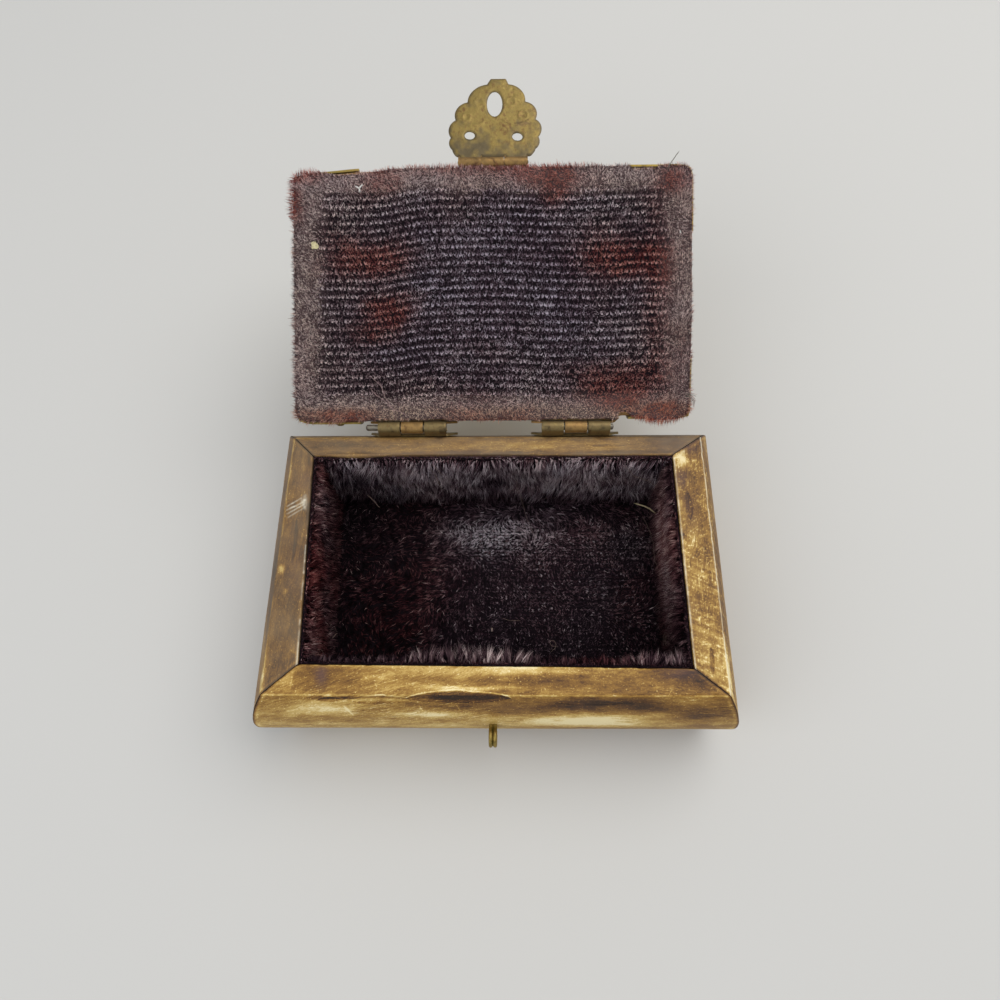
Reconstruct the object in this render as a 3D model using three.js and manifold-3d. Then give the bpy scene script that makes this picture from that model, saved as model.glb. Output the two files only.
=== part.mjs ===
// A small keepsake box: four bulging walls of stained bone mitred round a wooden floor, a plush
// lining, and a cushion-edged lid on two butt hinges with an ornate brass hasp.
// Millimetres. +X right, +Y towards the hinges, +Z up. The origin is the middle of the underside.
// It stands as it is used: lid thrown open, hasp stretched out beyond the lid.
import * as THREE from 'three';
import { mergeVertices } from 'three/addons/utils/BufferGeometryUtils.js';
import Module from 'manifold-3d';

// Base
const rimWidth = 94;
const rimDepth = 58.4;
const baseHeight = 30;
const wallBulge = 5;
const frontRim = 6;
const sideRim = 5.7;
const backRim = 5;
const floorBoard = 3;
const floorRebate = 2.4;

// Lining
const liningThickness = 1.8;
const liningDrop = 0.6;

// Lid
const lidSideInset = 1.8;
const lidFrontInset = 1.2;
const lidHeight = 7;
const lidEdgeFall = 3;
const lidRail = 8;
const panelThickness = 2.2;
const panelLap = 2.5;
const lidLining = 1.8;
const lidLiningCorner = 1.6;

// Hinges
const hingeToCorner = 1.9;
const hingeRise = 1.8;
const hingeBarrel = 1.4;
const hingePin = 0.7;
const hingeKnuckle = 5;
const leafThickness = 0.5;
const hingeLeafWidth = 20.4;
const baseLeafDrop = 8.4;
const lidLeafHeight = 5.9;
const leftPinTail = 2.9;
const rightPinTail = 0.8;

// Hasp
const haspRise = 2;
const haspBarrel = 1.2;
const haspPin = 0.5;
const haspKnuckle = 5;
const haspPinTail = 0.3;
const haspLeafWidth = 19;
const haspLeafHeight = 5.4;
const haspThickness = 0.5;
const haspWidth = 21.4;
const haspLength = 20.8;
const slotWidth = 3.6;
const slotLength = 6.6;
const slotDistance = 14.4;
const eyeletWidth = 2.4;
const eyeletLength = 1.9;
const eyeletSpread = 11;
const eyeletDistance = 6;

// Staple
const stapleReach = 4.7;
const stapleEye = 4.4;
const stapleWire = 0.9;
const stapleWidth = 1.8;
const stapleLeg = 8;
const stapleLegHeight = 1.4;
const stapleHole = 2.7;

// Brass corners of the lid
const cornerWing = 14.3;
const cornerStrip = 5.2;
const cornerThickness = 0.5;

// Nails and pins
const nailShank = 0.4;
const nailHead = 0.85;
const nailDome = 0.45;
const nailLength = 3.4;
const cornerPin = 0.5;
const cornerPinLength = 12;
const cornerPinInset = 2.2;

// Clearances and overruns
const fitGap = 0.3;
const mitreGap = 0.3;
const lidGap = 0.3;
const pinGap = 0.15;
const overrun = 4;
const weld = 0.0001;

// Angles
const openAngle = THREE.MathUtils.degToRad(157.1);
const haspDroop = THREE.MathUtils.degToRad(7.9);

// Steps round curves
const arcSteps = 14;
const roundSteps = 20;
const smallSteps = 10;
const domeSteps = 3;

// Shares
const leafOutlineShares = [[0.78, 0], [1, 0.26], [0.84, 0.7], [0.3, 0.86], [0, 1]];
const haspCuspShares = [
  [0.776, 0],
  [0.897, 0.073],
  [0.944, 0.215],
  [0.864, 0.437],
  [0.626, 0.684],
  [0.234, 0.927],
];
const haspLobeShares = [0.16, 0.21, 0.24, 0.24, 0.2];
const haspTabShare = 0.165;
const leafNailShare = 0.33;
const leafNailRiseShare = 0.45;
const cornerPinHeightShare = 0.66;
const cornerNailShare = 0.62;
const cornerNailRiseShare = 0.45;

const wasm = await Module();
wasm.setup();

const bone = new THREE.MeshStandardMaterial({ color: 0xb08a58, roughness: 0.5, metalness: 0 });
const paleBone = new THREE.MeshStandardMaterial({ color: 0xd8c9a4, roughness: 0.5, metalness: 0 });
const wood = new THREE.MeshStandardMaterial({ color: 0x6f4a2b, roughness: 0.7, metalness: 0 });
const plush = new THREE.MeshStandardMaterial({ color: 0x3a2630, roughness: 0.95, metalness: 0 });
const brass = new THREE.MeshStandardMaterial({ color: 0x94813c, roughness: 0.45, metalness: 0.9 });
const steel = new THREE.MeshStandardMaterial({ color: 0x8c8578, roughness: 0.4, metalness: 0.9 });

// Values worked out from the sizes
const wallRadius = (baseHeight ** 2 / 4 + wallBulge ** 2) / (2 * wallBulge);
const wallSwing = Math.asin(baseHeight / 2 / wallRadius);
const lidWidth = rimWidth - 2 * lidSideInset;
const lidDepth = rimDepth - lidFrontInset;
const lidRadius = (lidHeight ** 2 + lidEdgeFall ** 2) / (2 * lidEdgeFall);
const hingeAxisY = rimDepth / 2 + fitGap + hingeBarrel;
const hingeAxisZ = baseHeight + hingeRise;
const hingeAlong = (lidWidth - hingeLeafWidth) / 2 - cornerWing - hingeToCorner;
const lidBottom = baseHeight + lidGap + lidLining + fitGap;
const lidMiddleY = lidFrontInset / 2;
const haspAxisY = lidMiddleY - lidDepth / 2 - fitGap - haspBarrel;
const haspAxisZ = baseHeight + haspRise;
const haspNear = haspBarrel + fitGap;

// The closed hasp leans out from upright by haspLean, fitGap clear of the front wall's bulge, and
// the staple stands where the middle of its slot then lies.
const haspBack = -haspAxisY - rimDepth / 2 + wallRadius - wallBulge;
const haspAbove = haspAxisZ - baseHeight / 2;
const haspToBulge = wallRadius + fitGap - haspBarrel + haspThickness;
const haspLean = Math.atan2(haspAbove, haspBack)
  - Math.acos(haspToBulge / Math.hypot(haspAbove, haspBack));
const stapleHeight = haspAxisZ - slotDistance * Math.cos(haspLean)
  + (haspBarrel - haspThickness / 2) * Math.sin(haspLean);

// The four sides: turn of the outward normal about Z, reach from the middle, and length.
const baseSides = {
  front: { turn: -Math.PI / 2, reach: rimDepth / 2, run: rimWidth, rim: frontRim },
  right: { turn: 0, reach: rimWidth / 2, run: rimDepth, rim: sideRim },
  back: { turn: Math.PI / 2, reach: rimDepth / 2, run: rimWidth, rim: backRim },
  left: { turn: Math.PI, reach: rimWidth / 2, run: rimDepth, rim: sideRim },
};
const lidSides = {
  front: { turn: -Math.PI / 2, reach: lidDepth / 2, run: lidWidth },
  right: { turn: 0, reach: lidWidth / 2, run: lidDepth },
  back: { turn: Math.PI / 2, reach: lidDepth / 2, run: lidWidth },
  left: { turn: Math.PI, reach: lidWidth / 2, run: lidDepth },
};

// Solids
function toSolid(geometry, place) {
  const bare = geometry.clone();
  bare.deleteAttribute('normal');
  bare.deleteAttribute('uv');
  if (place) bare.applyMatrix4(place);
  const merged = mergeVertices(bare, weld);
  return new wasm.Manifold(new wasm.Mesh({
    numProp: 3,
    vertProperties: merged.attributes.position.array,
    triVerts: new Uint32Array(merged.index.array),
  }));
}

function toGeometry(body) {
  const mesh = body.getMesh();
  const geometry = new THREE.BufferGeometry();
  geometry.setAttribute('position', new THREE.BufferAttribute(mesh.vertProperties, 3));
  geometry.setIndex(new THREE.BufferAttribute(mesh.triVerts, 1));
  geometry.computeVertexNormals();
  return geometry;
}

function addMesh(group, name, shape, material, place) {
  const geometry = shape.isBufferGeometry ? shape : toGeometry(shape);
  const mesh = new THREE.Mesh(geometry, material);
  mesh.name = name;
  if (place) mesh.applyMatrix4(place);
  group.add(mesh);
  return mesh;
}

// Places
const shift = (x, y, z) => new THREE.Matrix4().makeTranslation(x, y, z);
const turnZ = (angle) => new THREE.Matrix4().makeRotationZ(angle);
const turnY = (angle) => new THREE.Matrix4().makeRotationY(angle);
const across = new THREE.Matrix4().makeBasis(
  new THREE.Vector3(0, 1, 0),
  new THREE.Vector3(0, 0, 1),
  new THREE.Vector3(1, 0, 0),
);

// A side's own frame: +X out from its edge, +Z up, its length along Y.
function sidePlace(side, along = 0) {
  return turnZ(side.turn).multiply(shift(side.reach, along, 0));
}

// A place on a side's curved face, +X pointing straight out of it.
function facePlace(side, centreOut, centreUp, radius, along, angle) {
  return sidePlace(side, along)
    .multiply(shift(centreOut, 0, centreUp))
    .multiply(turnY(-angle))
    .multiply(shift(radius, 0, 0));
}

const baseFace = (side, along, height, out) => facePlace(
  side, wallBulge - wallRadius, baseHeight / 2, wallRadius + out, along,
  Math.asin((height - baseHeight / 2) / wallRadius),
);

const lidFace = (side, along, height, out) => facePlace(
  side, -lidRadius, 0, lidRadius + out, along, Math.asin(height / lidRadius),
);

// Basic forms
function polygon(points) {
  return new THREE.Shape(points.map(([x, y]) => new THREE.Vector2(x, y)));
}

// A section drawn as out and up, run along a side.
function bar(section, length) {
  const settings = { depth: length, bevelEnabled: false, curveSegments: arcSteps };
  return new THREE.ExtrudeGeometry(section, settings)
    .translate(0, 0, -length / 2)
    .rotateX(Math.PI / 2);
}

// An outline seen from above, raised between two heights.
function slab(outline, bottom, top) {
  const settings = { depth: top - bottom, bevelEnabled: false, curveSegments: smallSteps };
  return new THREE.ExtrudeGeometry(outline, settings).translate(0, 0, bottom);
}

function block(width, depth, bottom, top, x = 0, y = 0) {
  return new THREE.BoxGeometry(width, depth, top - bottom).translate(x, y, (bottom + top) / 2);
}

// A cylinder along X, centred on x.
function rod(radius, length, x = 0, steps = roundSteps) {
  return new THREE.CylinderGeometry(radius, radius, length, steps)
    .rotateZ(Math.PI / 2)
    .translate(x, 0, 0);
}

// A cylinder that lies along a side, centred on a point of its frame.
function reel(radius, length, out, along, up) {
  return new THREE.CylinderGeometry(radius, radius, length, roundSteps).translate(out, along, up);
}

// The section between two arcs about the middle of a curved face.
function arcBand(face, inner, outer) {
  const band = new THREE.Shape();
  band.absarc(face.out, face.up, outer, face.from, face.to, false);
  band.absarc(face.out, face.up, inner, face.to, face.from, true);
  return band;
}

function roundedOutline(width, depth, corner) {
  const x = width / 2 - corner;
  const y = depth / 2 - corner;
  const shape = new THREE.Shape();
  shape.absarc(x, y, corner, 0, Math.PI / 2, false);
  shape.absarc(-x, y, corner, Math.PI / 2, Math.PI, false);
  shape.absarc(-x, -y, corner, Math.PI, 1.5 * Math.PI, false);
  shape.absarc(x, -y, corner, 1.5 * Math.PI, 2 * Math.PI, false);
  return shape;
}

// Cuts a bar's ends to mitres that meet its neighbours' with mitreGap between.
function mitred(section, run, inner, outer, bottom, top) {
  const half = run / 2 - mitreGap / Math.SQRT2;
  const wedge = polygon([
    [-inner, -(half - inner)],
    [outer, -(half + outer)],
    [outer, half + outer],
    [-inner, half - inner],
  ]);
  const body = toSolid(bar(section, run + 2 * outer));
  return body.intersect(toSolid(slab(wedge, bottom, top)));
}

// Drilled holes, each along the X of its place, from out above it to deep below.
function drilled(body, places, radius, deep, out) {
  return places.reduce((left, place) => left.subtract(toSolid(
    rod(radius, deep + out, (out - deep) / 2, smallSteps), place,
  )), body);
}

// A nail with a low domed head, its seat at the origin and its head towards +X.
function nail() {
  const profile = [new THREE.Vector2(0, -nailLength), new THREE.Vector2(nailShank, -nailLength)];
  profile.push(new THREE.Vector2(nailShank, 0));
  for (let step = 0; step <= domeSteps; step += 1) {
    const angle = step / domeSteps * Math.PI / 2;
    const radius = step === domeSteps ? 0 : nailHead * Math.cos(angle);
    profile.push(new THREE.Vector2(radius, nailDome * Math.sin(angle)));
  }
  return new THREE.LatheGeometry(profile, smallSteps).rotateZ(-Math.PI / 2);
}

const nailHole = nailShank + fitGap;
const drillForNails = (body, places) => drilled(body, places, nailHole, nailLength + fitGap, overrun);

function leafOutline(width, near, far) {
  const right = leafOutlineShares.map(([x, y]) => [x * width / 2, near + y * (far - near)]);
  const left = right.slice(0, -1).reverse().map(([x, y]) => [-x, y]);
  return polygon([...right, ...left]);
}

// A hinge leaf that hugs a curved face, with knuckles on an axis that lies axisOut past the edge.
function leafOnFace({ face, width, near, far, axisOut, axisUp, barrel, bore, knuckle, knuckles }) {
  const inner = face.radius + fitGap;
  const band = arcBand(face, inner, inner + leafThickness);
  const cutterReach = wallBulge + overrun;
  const cutter = new THREE.ExtrudeGeometry(leafOutline(width, near, far), {
    depth: 2 * cutterReach, bevelEnabled: false,
  }).translate(0, 0, -cutterReach);
  let leaf = toSolid(bar(band, width)).intersect(toSolid(cutter, across));
  const riserEnd = near + Math.sign(near - axisUp) * leafThickness;
  for (const index of knuckles) {
    const along = index * (knuckle + fitGap);
    const riser = new THREE.BoxGeometry(leafThickness, knuckle, Math.abs(riserEnd - axisUp))
      .translate(fitGap + leafThickness / 2, along, (riserEnd + axisUp) / 2);
    leaf = leaf.add(toSolid(riser)).add(toSolid(reel(barrel, knuckle, axisOut, along, axisUp)));
  }
  const keepClear = bar(arcBand(face, face.radius - overrun, inner), 2 * width);
  const hole = reel(bore, 2 * width, axisOut, 0, axisUp);
  return leaf.subtract(toSolid(keepClear)).subtract(toSolid(hole));
}

// Seen from a side's own frame, so that a hole can be cut before the piece is placed.
const seenFrom = (side, place) => sidePlace(side).invert().multiply(place);

// How far a base wall's face stands out past the rim at a height.
function bulgeAt(height) {
  return wallBulge - wallRadius + Math.sqrt(wallRadius ** 2 - (height - baseHeight / 2) ** 2);
}

// Corner pins, driven in from the two ends through each mitre
const cornerPins = [];
for (const [end, frontSign] of [['left', 1], ['right', -1]]) {
  const side = baseSides[end];
  const height = baseHeight * cornerPinHeightShare;
  for (const [wall, sign] of [['front', frontSign], ['back', -frontSign]]) {
    const place = sidePlace(side, sign * (side.run / 2 - cornerPinInset))
      .multiply(shift(bulgeAt(height), 0, height));
    cornerPins.push({ name: `corner_pin_${wall}_${end}`, end, wall, place });
  }
}

// Leaves and their nails
const baseLeafNear = hingeAxisZ - hingeBarrel - fitGap;
const lidLeafAxis = hingeAxisZ - lidBottom;
const lidLeafNear = lidLeafAxis + hingeBarrel + fitGap;
const haspLeafAxis = haspAxisZ - lidBottom;
const haspLeafNear = haspLeafAxis + haspBarrel + fitGap;
const nailOut = 2 * fitGap + leafThickness;

function leafNails(face, side, middle, width, near, far) {
  const height = near + leafNailRiseShare * (far - near);
  return [-1, 1].map((sign) => face(side, middle + sign * leafNailShare * width, height, nailOut));
}

const hinges = [['left', 1], ['right', -1]].map(([name, sign]) => {
  const along = sign * hingeAlong;
  return {
    name,
    along,
    baseNails: leafNails(
      baseFace, baseSides.back, along, hingeLeafWidth, baseLeafNear, baseHeight - baseLeafDrop,
    ),
    lidNails: leafNails(
      lidFace, lidSides.back, along, hingeLeafWidth, lidLeafNear, lidLeafHeight,
    ),
  };
});
const haspNails = leafNails(lidFace, lidSides.front, 0, haspLeafWidth, haspLeafNear, haspLeafHeight);

// Each brass corner has a nail in both of its wings.
const cornerNames = [
  ['front', 'left', -1],
  ['front', 'right', 1],
  ['back', 'left', 1],
  ['back', 'right', -1],
];
const corners = cornerNames.map(([wall, end, sign]) => {
  const height = cornerNailRiseShare * lidHeight;
  const inset = cornerNailShare * cornerWing;
  const endSign = (wall === 'front') === (end === 'left') ? 1 : -1;
  const nailOutside = 2 * fitGap + cornerThickness;
  const wallSide = lidSides[wall];
  const endSide = lidSides[end];
  return {
    name: `${wall}_${end}`,
    wall,
    end,
    nails: [
      lidFace(wallSide, sign * (wallSide.run / 2 - inset), height, nailOutside),
      lidFace(endSide, endSign * (endSide.run / 2 - inset), height, nailOutside),
    ],
  };
});

// Base
const base = new THREE.Group();

function wallSection(rim) {
  const section = new THREE.Shape();
  section.moveTo(-rim, baseHeight);
  section.lineTo(-rim, floorBoard + fitGap);
  section.lineTo(-rim + floorRebate, floorBoard + fitGap);
  section.lineTo(-rim + floorRebate, 0);
  section.absarc(wallBulge - wallRadius, baseHeight / 2, wallRadius, -wallSwing, wallSwing, false);
  return section;
}

for (const [name, side] of Object.entries(baseSides)) {
  let wall = mitred(
    wallSection(side.rim), side.run, side.rim + overrun, wallBulge + overrun, -overrun,
    baseHeight + overrun,
  );
  const pins = cornerPins.filter((pin) => pin.end === name || pin.wall === name);
  wall = drilled(
    wall, pins.map((pin) => seenFrom(side, pin.place)), cornerPin + pinGap,
    cornerPinLength + pinGap, overrun,
  );
  if (name === 'back') {
    const nails = hinges.flatMap((hinge) => hinge.baseNails);
    wall = drillForNails(wall, nails.map((place) => seenFrom(side, place)));
  }
  if (name === 'front') {
    const hole = shift(bulgeAt(stapleHeight), 0, stapleHeight);
    wall = drilled(wall, [hole], stapleHole / 2, stapleLeg + fitGap, overrun);
  }
  addMesh(base, `${name}_wall`, wall, bone, sidePlace(side));
}

for (const pin of cornerPins) {
  addMesh(base, pin.name, rod(cornerPin, cornerPinLength, -cornerPinLength / 2, smallSteps), brass,
    pin.place);
}

const hollowWidth = rimWidth - 2 * sideRim;
const hollowDepth = rimDepth - frontRim - backRim;
const hollowY = (frontRim - backRim) / 2;
const boardMargin = 2 * (floorRebate - fitGap);
addMesh(base, 'bottom_panel', block(
  hollowWidth + boardMargin, hollowDepth + boardMargin, 0, floorBoard, 0, hollowY,
), wood);

const liningFloor = floorBoard + fitGap;
const liningFoot = liningFloor + liningThickness + fitGap;
const liningTop = baseHeight - liningDrop;
addMesh(base, 'lining_floor', block(
  hollowWidth - 2 * fitGap, hollowDepth - 2 * fitGap, liningFloor, liningFloor + liningThickness,
  0, hollowY,
), plush);
for (const [name, sign] of [['front', -1], ['back', 1]]) {
  addMesh(base, `lining_${name}`, block(
    hollowWidth - 2 * fitGap, liningThickness, liningFoot, liningTop,
    0, hollowY + sign * (hollowDepth / 2 - fitGap - liningThickness / 2),
  ), plush);
}
for (const [name, sign] of [['left', -1], ['right', 1]]) {
  addMesh(base, `lining_${name}`, block(
    liningThickness, hollowDepth - 2 * (liningThickness + 2 * fitGap), liningFoot, liningTop,
    sign * (hollowWidth / 2 - fitGap - liningThickness / 2), hollowY,
  ), plush);
}

// The staple: a flat wire bent to an eye, its legs driven into the front wall.
function staple() {
  const face = bulgeAt(stapleHeight);
  const middle = face + stapleReach - stapleEye / 2;
  const eye = new THREE.Shape();
  eye.absarc(middle, stapleHeight, stapleEye / 2, 0, 2 * Math.PI, false);
  const legEnd = middle - stapleEye / 2 + stapleWire;
  const leg = new THREE.BoxGeometry(legEnd - face + stapleLeg, stapleWidth, stapleLegHeight)
    .translate((legEnd + face - stapleLeg) / 2, 0, stapleHeight);
  const hole = reel(stapleEye / 2 - stapleWire, 2 * stapleWidth, middle, 0, stapleHeight);
  return toSolid(bar(eye, stapleWidth)).add(toSolid(leg)).subtract(toSolid(hole));
}
addMesh(base, 'staple_eye', staple(), brass, sidePlace(baseSides.front));

// Lid, laid out closed about the middle of its underside, then swung open about the hinge axis
const lid = new THREE.Group();
const lidSwing = new THREE.Group();
lidSwing.position.set(0, hingeAxisY, hingeAxisZ);
lidSwing.rotation.x = -openAngle;
lid.position.set(0, lidMiddleY - hingeAxisY, lidBottom - hingeAxisZ);
lidSwing.add(lid);

function railSection() {
  const ledge = lidHeight - panelThickness - fitGap;
  const section = new THREE.Shape();
  section.moveTo(-lidRail, ledge);
  section.lineTo(-lidRail, 0);
  section.absarc(-lidRadius, 0, lidRadius, 0, Math.asin(lidHeight / lidRadius), false);
  section.lineTo(panelLap - lidRail, lidHeight);
  section.lineTo(panelLap - lidRail, ledge);
  return section;
}

for (const [name, side] of Object.entries(lidSides)) {
  const nails = corners.filter((corner) => corner.wall === name || corner.end === name)
    .map((corner) => corner.nails[corner.wall === name ? 0 : 1]);
  if (name === 'back') nails.push(...hinges.flatMap((hinge) => hinge.lidNails));
  if (name === 'front') nails.push(...haspNails);
  const rail = mitred(
    railSection(), side.run, lidRail + overrun, overrun, -overrun, lidHeight + overrun,
  );
  const drilledRail = drillForNails(rail, nails.map((place) => seenFrom(side, place)));
  addMesh(lid, `lid_${name}_rail`, drilledRail, bone, sidePlace(side));
}

const boardInset = 2 * (lidRail + fitGap);
addMesh(lid, 'lid_board', block(
  lidWidth - boardInset, lidDepth - boardInset, 0, lidHeight - panelThickness - fitGap,
), wood);
const panelInset = 2 * (lidRail - panelLap + fitGap);
addMesh(lid, 'lid_top_panel', block(
  lidWidth - panelInset, lidDepth - panelInset, lidHeight - panelThickness, lidHeight,
), paleBone);
addMesh(lid, 'lid_lining', slab(
  roundedOutline(lidWidth, lidDepth, lidLiningCorner), -fitGap - lidLining, -fitGap,
), plush);

// The lid's outer shape grown by a margin, from which the brass corners are cut.
function lidForm(grow) {
  const swing = Math.asin((lidHeight + grow) / (lidRadius + grow));
  const crossing = (span) => {
    const section = new THREE.Shape();
    section.moveTo(0, 0);
    section.absarc(span / 2 - lidRadius, 0, lidRadius + grow, 0, swing, false);
    section.absarc(lidRadius - span / 2, 0, lidRadius + grow, Math.PI - swing, Math.PI, false);
    return section;
  };
  const length = lidWidth + 2 * overrun;
  const alongX = toSolid(bar(crossing(lidDepth), length), turnZ(Math.PI / 2));
  return alongX.intersect(toSolid(bar(crossing(lidWidth), length)));
}

// Drawn for the back right corner, with a hollow curve between the tips of its two wings.
function cornerOutline() {
  const x = lidWidth / 2;
  const y = lidDepth / 2;
  const outline = new THREE.Shape();
  outline.moveTo(x + overrun, y + overrun);
  outline.lineTo(x - cornerWing, y + overrun);
  outline.lineTo(x - cornerWing, y - cornerStrip / 2);
  outline.quadraticCurveTo(x - cornerStrip, y - cornerStrip, x - cornerStrip / 2, y - cornerWing);
  outline.lineTo(x + overrun, y - cornerWing);
  return outline;
}

const cornerSheet = lidForm(fitGap + cornerThickness).subtract(lidForm(fitGap));
for (const corner of corners) {
  const flipX = corner.end === 'left' ? -1 : 1;
  const flipY = corner.wall === 'front' ? -1 : 1;
  const points = cornerOutline().getPoints(smallSteps)
    .map((point) => [flipX * point.x, flipY * point.y]);
  const piece = cornerSheet.intersect(toSolid(slab(
    polygon(points), -overrun, lidHeight + overrun,
  )));
  addMesh(lid, `lid_corner_${corner.name}`, drillForNails(piece, corner.nails), brass);
  corner.nails.forEach((place, index) => {
    const wing = index ? corner.end : corner.wall;
    addMesh(lid, `corner_nail_${corner.name}_${wing}`, nail(), brass, place);
  });
}

// Hinges
const baseFaceArc = {
  out: wallBulge - wallRadius,
  up: baseHeight / 2,
  radius: wallRadius,
  from: -wallSwing,
  to: Math.asin((baseHeight / 2 + hingeRise) / wallRadius),
};
const lidFaceArc = {
  out: -lidRadius,
  up: 0,
  radius: lidRadius,
  from: 0,
  to: Math.asin(lidHeight / lidRadius),
};
const hingeFit = {
  width: hingeLeafWidth,
  axisOut: fitGap + hingeBarrel,
  barrel: hingeBarrel,
  bore: hingePin + fitGap,
  knuckle: hingeKnuckle,
};

for (const hinge of hinges) {
  const baseLeaf = leafOnFace({
    ...hingeFit,
    face: baseFaceArc,
    near: baseLeafNear,
    far: baseHeight - baseLeafDrop,
    axisUp: hingeAxisZ,
    knuckles: [-1, 1],
  });
  const lidLeaf = leafOnFace({
    ...hingeFit,
    face: lidFaceArc,
    near: lidLeafNear,
    far: lidLeafHeight,
    axisUp: lidLeafAxis,
    knuckles: [0],
  });
  const basePlace = sidePlace(baseSides.back, hinge.along);
  const lidPlace = sidePlace(lidSides.back, hinge.along);
  const unplaced = (places, place) => places.map((nailPlace) => place.clone().invert()
    .multiply(nailPlace));
  addMesh(base, `${hinge.name}_hinge_base_leaf`,
    drillForNails(baseLeaf, unplaced(hinge.baseNails, basePlace)), brass, basePlace);
  addMesh(lid, `${hinge.name}_hinge_lid_leaf`,
    drillForNails(lidLeaf, unplaced(hinge.lidNails, lidPlace)), brass, lidPlace);
  hinge.baseNails.forEach((place, index) => {
    addMesh(base, `${hinge.name}_hinge_base_nail_${index + 1}`, nail(), brass, place);
  });
  hinge.lidNails.forEach((place, index) => {
    addMesh(lid, `${hinge.name}_hinge_lid_nail_${index + 1}`, nail(), brass, place);
  });
  const isLeft = hinge.name === 'left';
  const tail = isLeft ? leftPinTail : rightPinTail;
  const barrelLength = 3 * hingeKnuckle + 2 * fitGap;
  const tailSide = isLeft ? 1 : -1;
  const pin = reel(
    hingePin, barrelLength + tail, hingeFit.axisOut, tailSide * tail / 2, hingeAxisZ,
  );
  addMesh(base, `${hinge.name}_hinge_pin`, pin, steel, basePlace);
}

// Hasp: its fixed leaf and pin belong to the lid, and the pierced plate swings on them.
const haspLeaf = leafOnFace({
  face: lidFaceArc,
  width: haspLeafWidth,
  near: haspLeafNear,
  far: haspLeafHeight,
  axisOut: fitGap + haspBarrel,
  axisUp: haspLeafAxis,
  barrel: haspBarrel,
  bore: haspPin + fitGap,
  knuckle: haspKnuckle,
  knuckles: [0],
});
const frontPlace = sidePlace(lidSides.front);
addMesh(lid, 'hasp_fixed_leaf', drillForNails(
  haspLeaf, haspNails.map((place) => seenFrom(lidSides.front, place)),
), brass, frontPlace);
haspNails.forEach((place, index) => addMesh(lid, `hasp_nail_${index + 1}`, nail(), brass, place));
const haspPinLength = 3 * haspKnuckle + 2 * fitGap + 2 * haspPinTail;
addMesh(lid, 'hasp_pin', reel(
  haspPin, haspPinLength, fitGap + haspBarrel, 0, haspLeafAxis,
), steel, frontPlace);

// An arc that swells out of its chord by a share of the chord's length.
function swell(shape, from, to, share) {
  const chord = to.clone().sub(from);
  const length = chord.length();
  const rise = share * length;
  const radius = (length * length / 4 + rise * rise) / (2 * rise);
  const outward = new THREE.Vector2(chord.y, -chord.x).divideScalar(length);
  const centre = from.clone().add(to).divideScalar(2).addScaledVector(outward, rise - radius);
  const angleTo = (point) => Math.atan2(point.y - centre.y, point.x - centre.x);
  shape.absarc(centre.x, centre.y, radius, angleTo(from), angleTo(to), false);
}

// The pierced plate's outline, X its distance from the hinge axis.
function haspOutline() {
  const reach = haspLength - haspNear;
  const cusps = haspCuspShares.map(([sideways, out]) => new THREE.Vector2(
    haspNear + out * reach, sideways * haspWidth / 2,
  ));
  const tab = haspTabShare * haspWidth / 2;
  const below = cusps.map((point) => new THREE.Vector2(point.x, -point.y));
  const shape = new THREE.Shape();
  shape.moveTo(haspNear, 0);
  shape.lineTo(below[0].x, below[0].y);
  for (let index = 1; index < below.length; index += 1) {
    swell(shape, below[index - 1], below[index], haspLobeShares[index - 1]);
  }
  shape.lineTo(haspLength, -tab);
  shape.lineTo(haspLength, tab);
  shape.lineTo(cusps[cusps.length - 1].x, cusps[cusps.length - 1].y);
  for (let index = cusps.length - 1; index > 0; index -= 1) {
    swell(shape, cusps[index], cusps[index - 1], haspLobeShares[index - 1]);
  }
  const pierce = (x, y, length, width) => {
    const hole = new THREE.Path();
    hole.absellipse(x, y, length / 2, width / 2, 0, 2 * Math.PI, false);
    shape.holes.push(hole);
  };
  pierce(slotDistance, 0, slotLength, slotWidth);
  pierce(eyeletDistance, -eyeletSpread / 2, eyeletLength, eyeletWidth);
  pierce(eyeletDistance, eyeletSpread / 2, eyeletLength, eyeletWidth);
  return shape;
}

function haspPlate() {
  const top = haspBarrel;
  const under = haspBarrel - haspThickness;
  let plate = toSolid(slab(haspOutline(), under, top));
  for (const sign of [-1, 1]) {
    const along = sign * (haspKnuckle + fitGap);
    const tongue = block(haspNear + haspThickness, haspKnuckle, under, top,
      (haspNear + haspThickness) / 2, along);
    plate = plate.add(toSolid(tongue)).add(toSolid(reel(haspBarrel, haspKnuckle, 0, along, 0)));
  }
  return plate.subtract(toSolid(reel(haspPin + fitGap, haspWidth, 0, 0, 0)));
}

const haspSwing = new THREE.Group();
haspSwing.position.set(0, haspAxisY - lidMiddleY, haspLeafAxis);
haspSwing.rotation.set(0, -haspDroop, lidSides.front.turn, 'ZYX');
addMesh(haspSwing, 'hasp_plate', haspPlate(), brass);
lid.add(haspSwing);

const box = new THREE.Group();
box.name = 'trinket_box';
box.add(base, lidSwing);
export default box;
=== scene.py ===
# A small keepsake box of stained bone, its lid thrown open: worn plush linings, aged brass fittings.
import math

import bmesh
import bpy
import numpy as np
from mathutils import Matrix, Vector
from mathutils.geometry import delaunay_2d_cdt


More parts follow.
